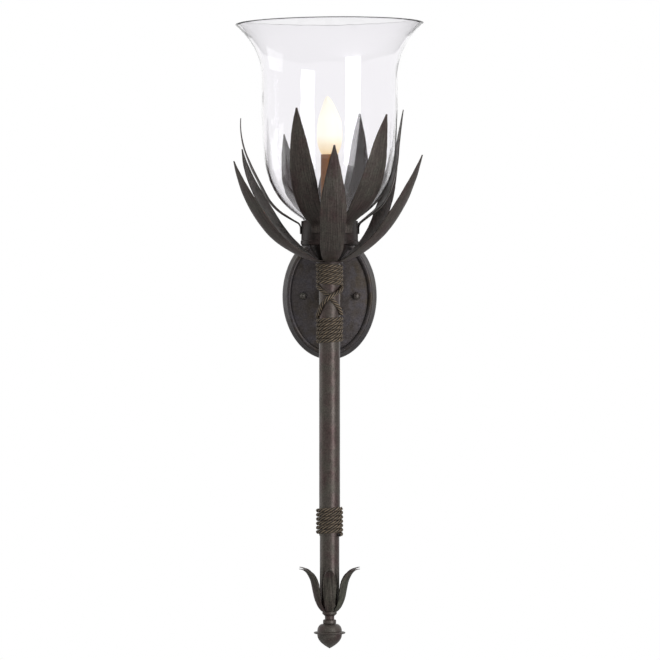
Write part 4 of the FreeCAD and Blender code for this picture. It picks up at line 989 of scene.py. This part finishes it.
def bell_curve(count=44):
    """Outer line of the bell above its neck: (radius, height) from the neck to the rim."""
    neck = top_of("cup") + 0.8 * MM
    rim = foot_of("glass_shade") + GLASS_H
    points = []
    for k in range(count + 1):
        share = (k / count) ** 1.6
        swell = 0.9 * (1 - (1 - share) ** 4.5) + 0.1 * share
        points.append((GLASS_NECK_R + (GLASS_BODY_R - GLASS_NECK_R) * swell, neck + GLASS_SHOULDER_H * share))
    for k in range(1, count + 1):
        share = (k / count) ** 0.8
        height = rim - GLASS_FLARE_H * (1 - share)
        if height > points[-1][1]:
            points.append((GLASS_BODY_R + GLASS_FLARE * share ** 2.5, height))
    return points


RIM_THINNING = 0.5      # share of the wall's thickness that is lost at the rim
RIM_BAND = 18 * MM
LIP_STEPS = 8
LIP_BULGE = 0.42        # how far the lip stands out, as a share of the wall


def bell_outline():
    """Closed outline of the bell's wall: outside up, round the fire-polished lip, inside down."""
    full = sizes().glass_wall
    outer = [(GLASS_NECK_R, foot_of("glass_shade") + k * 2 * MM) for k in range(12)] + bell_curve()
    inner = []
    rim = outer[-1][1]
    for k, (r, z) in enumerate(outer):
        wall = full * (1 - RIM_THINNING * max(0, 1 - (rim - z) / RIM_BAND))
        r0, z0 = outer[max(k - 1, 0)]
        r1, z1 = outer[min(k + 1, len(outer) - 1)]
        run = math.hypot(r1 - r0, z1 - z0)
        inner.append((r - (z1 - z0) / run * wall, z + (r1 - r0) / run * wall))
    (r0, z0), (r1, z1) = outer[-1], inner[-1]
    middle = ((r0 + r1) / 2, (z0 + z1) / 2)
    along = (outer[-1][0] - outer[-2][0], outer[-1][1] - outer[-2][1])
    run = math.hypot(*along)
    lip = []
    for k in range(1, LIP_STEPS):
        turn = math.pi * k / LIP_STEPS
        bulge = math.sin(turn) * wall * LIP_BULGE / run
        swing = math.cos(turn)
        lip.append((middle[0] + (r0 - middle[0]) * swing + along[0] * bulge,
                    middle[1] + (z0 - middle[1]) * swing + along[1] * bulge))
    return outer + lip + inner[::-1]


class SCONCE_OT_glass(Dresser):
    """Blow the glass bell: slightly uneven, with its rim a little out of level."""
    bl_idname = "sconce.glass"
    bl_label = "Glass bell"

    def execute(self, context):
        material = glass_material()
        rim = top_of("glass_shade")
        outline = bell_outline()
        host = line_mesh("bell_outline", [(r, 0, z) for r, z in outline])
        mesh = grow("blown_glass_bell", host, lathe_group(), {
            "Points": len(outline), "Segments": GLASS_SEGMENTS, "Axis": (0.0, AXIS_Y, 0.0),
            "Unevenness": GLASS_UNEVENNESS, "Tilt": sizes().rim_tilt, "Tilt From": rim - TILT_BAND,
            "Tilt To": rim, "Material": material})
        new_piece("blown_glass_bell", outward(mesh), material, "shade", ["glass_shade"])
        return {"FINISHED"}


class SCONCE_OT_lamp(Dresser):
    """Finish the candle sleeve, the lit lamp and the lampholder."""
    bl_idname = "sconce.lamp"
    bl_label = "Lamp"

    def execute(self, context):
        dress(lamp_material(), "lamp_envelope")
        dress(speckled_material("amber sleeve", colours().sleeve, 0.42, 0.0, 60, 0.1), "candle_sleeve")
        dress(speckled_material("brass", (0.56, 0.36, 0.09), 0.3, 1.0), "holder_shell", "holder_contact")
        dress(speckled_material("lamp cap metal", (0.58, 0.58, 0.6), 0.28, 1.0), "lamp_cap")
        dress(speckled_material("lamp insulator", (0.02, 0.02, 0.022), 0.25, 0.0), "lamp_contact")
        dress(speckled_material("filament and mount", (0.5, 0.5, 0.48), 0.3, 0.8), "lamp_filament")
        dress(speckled_material("dark phenolic", (0.015, 0.012, 0.01), 0.5, 0.0), "holder_body")
        return {"FINISHED"}


class SCONCE_OT_fittings(Dresser):
    """Finish the hidden crossbar, nipples, nuts, gasket and wires."""
    bl_idname = "sconce.fittings"
    bl_label = "Fittings"

    def execute(self, context):
        zinc = speckled_material("zinc plate", (0.5, 0.5, 0.48), 0.38, 1.0, 220, 0.16)
        dress(zinc, "box_strap", "stud_bar", "plate_studs", "arm_nipple", "arm_flange_nut", "top_nipple",
              "cup_washer", "cup_lock_nut", "holder_leg", "tie_bolt", "stem_joiner", "top_bushing")
        dress(speckled_material("green passivate", (0.03, 0.17, 0.04), 0.35, 0.6), "earth_screw")
        dress(speckled_material("black rubber", (0.012, 0.012, 0.012), 0.7, 0.0), "glass_gasket")
        dress(speckled_material("black insulation", (0.01, 0.01, 0.01), 0.4, 0.0), "supply_wires")
        dress(speckled_material("green insulation", (0.012, 0.14, 0.03), 0.4, 0.0), "earth_wire")
        return {"FINISHED"}


class SCONCE_PT_panel(bpy.types.Panel):
    """Sizes, colours and the making of each group of pieces."""
    bl_label = "Torch sconce"
    bl_idname = "SCONCE_PT_panel"
    bl_space_type = "VIEW_3D"
    bl_region_type = "UI"
    bl_category = "Sconce"

    def draw(self, context):
        layout = self.layout
        for group in (context.scene.sconce_sizes, context.scene.sconce_colours):
            column = layout.column(align=True)
            for key in group.bl_rna.properties.keys():
                if key not in ("rna_type", "name"):
                    column.prop(group, key)
        for operator in OPERATORS:
            layout.operator(operator.bl_idname)


OPERATORS = (SCONCE_OT_stage, SCONCE_OT_iron, SCONCE_OT_leaves, SCONCE_OT_foot, SCONCE_OT_ropes,
             SCONCE_OT_glass, SCONCE_OT_lamp, SCONCE_OT_fittings)
CLASSES = (SconceSizes, SconceColours, *OPERATORS, SCONCE_PT_panel)


def register():
    for item in CLASSES:
        bpy.utils.register_class(item)
    bpy.types.Scene.sconce_sizes = PointerProperty(type=SconceSizes)
    bpy.types.Scene.sconce_colours = PointerProperty(type=SconceColours)


def unregister():
    del bpy.types.Scene.sconce_colours
    del bpy.types.Scene.sconce_sizes
    for item in reversed(CLASSES):
        bpy.utils.unregister_class(item)


def main():
    register()
    for operator in OPERATORS:
        family, action = operator.bl_idname.split(".")
        getattr(getattr(bpy.ops, family), action)()


if __name__ == "__main__":
    main()
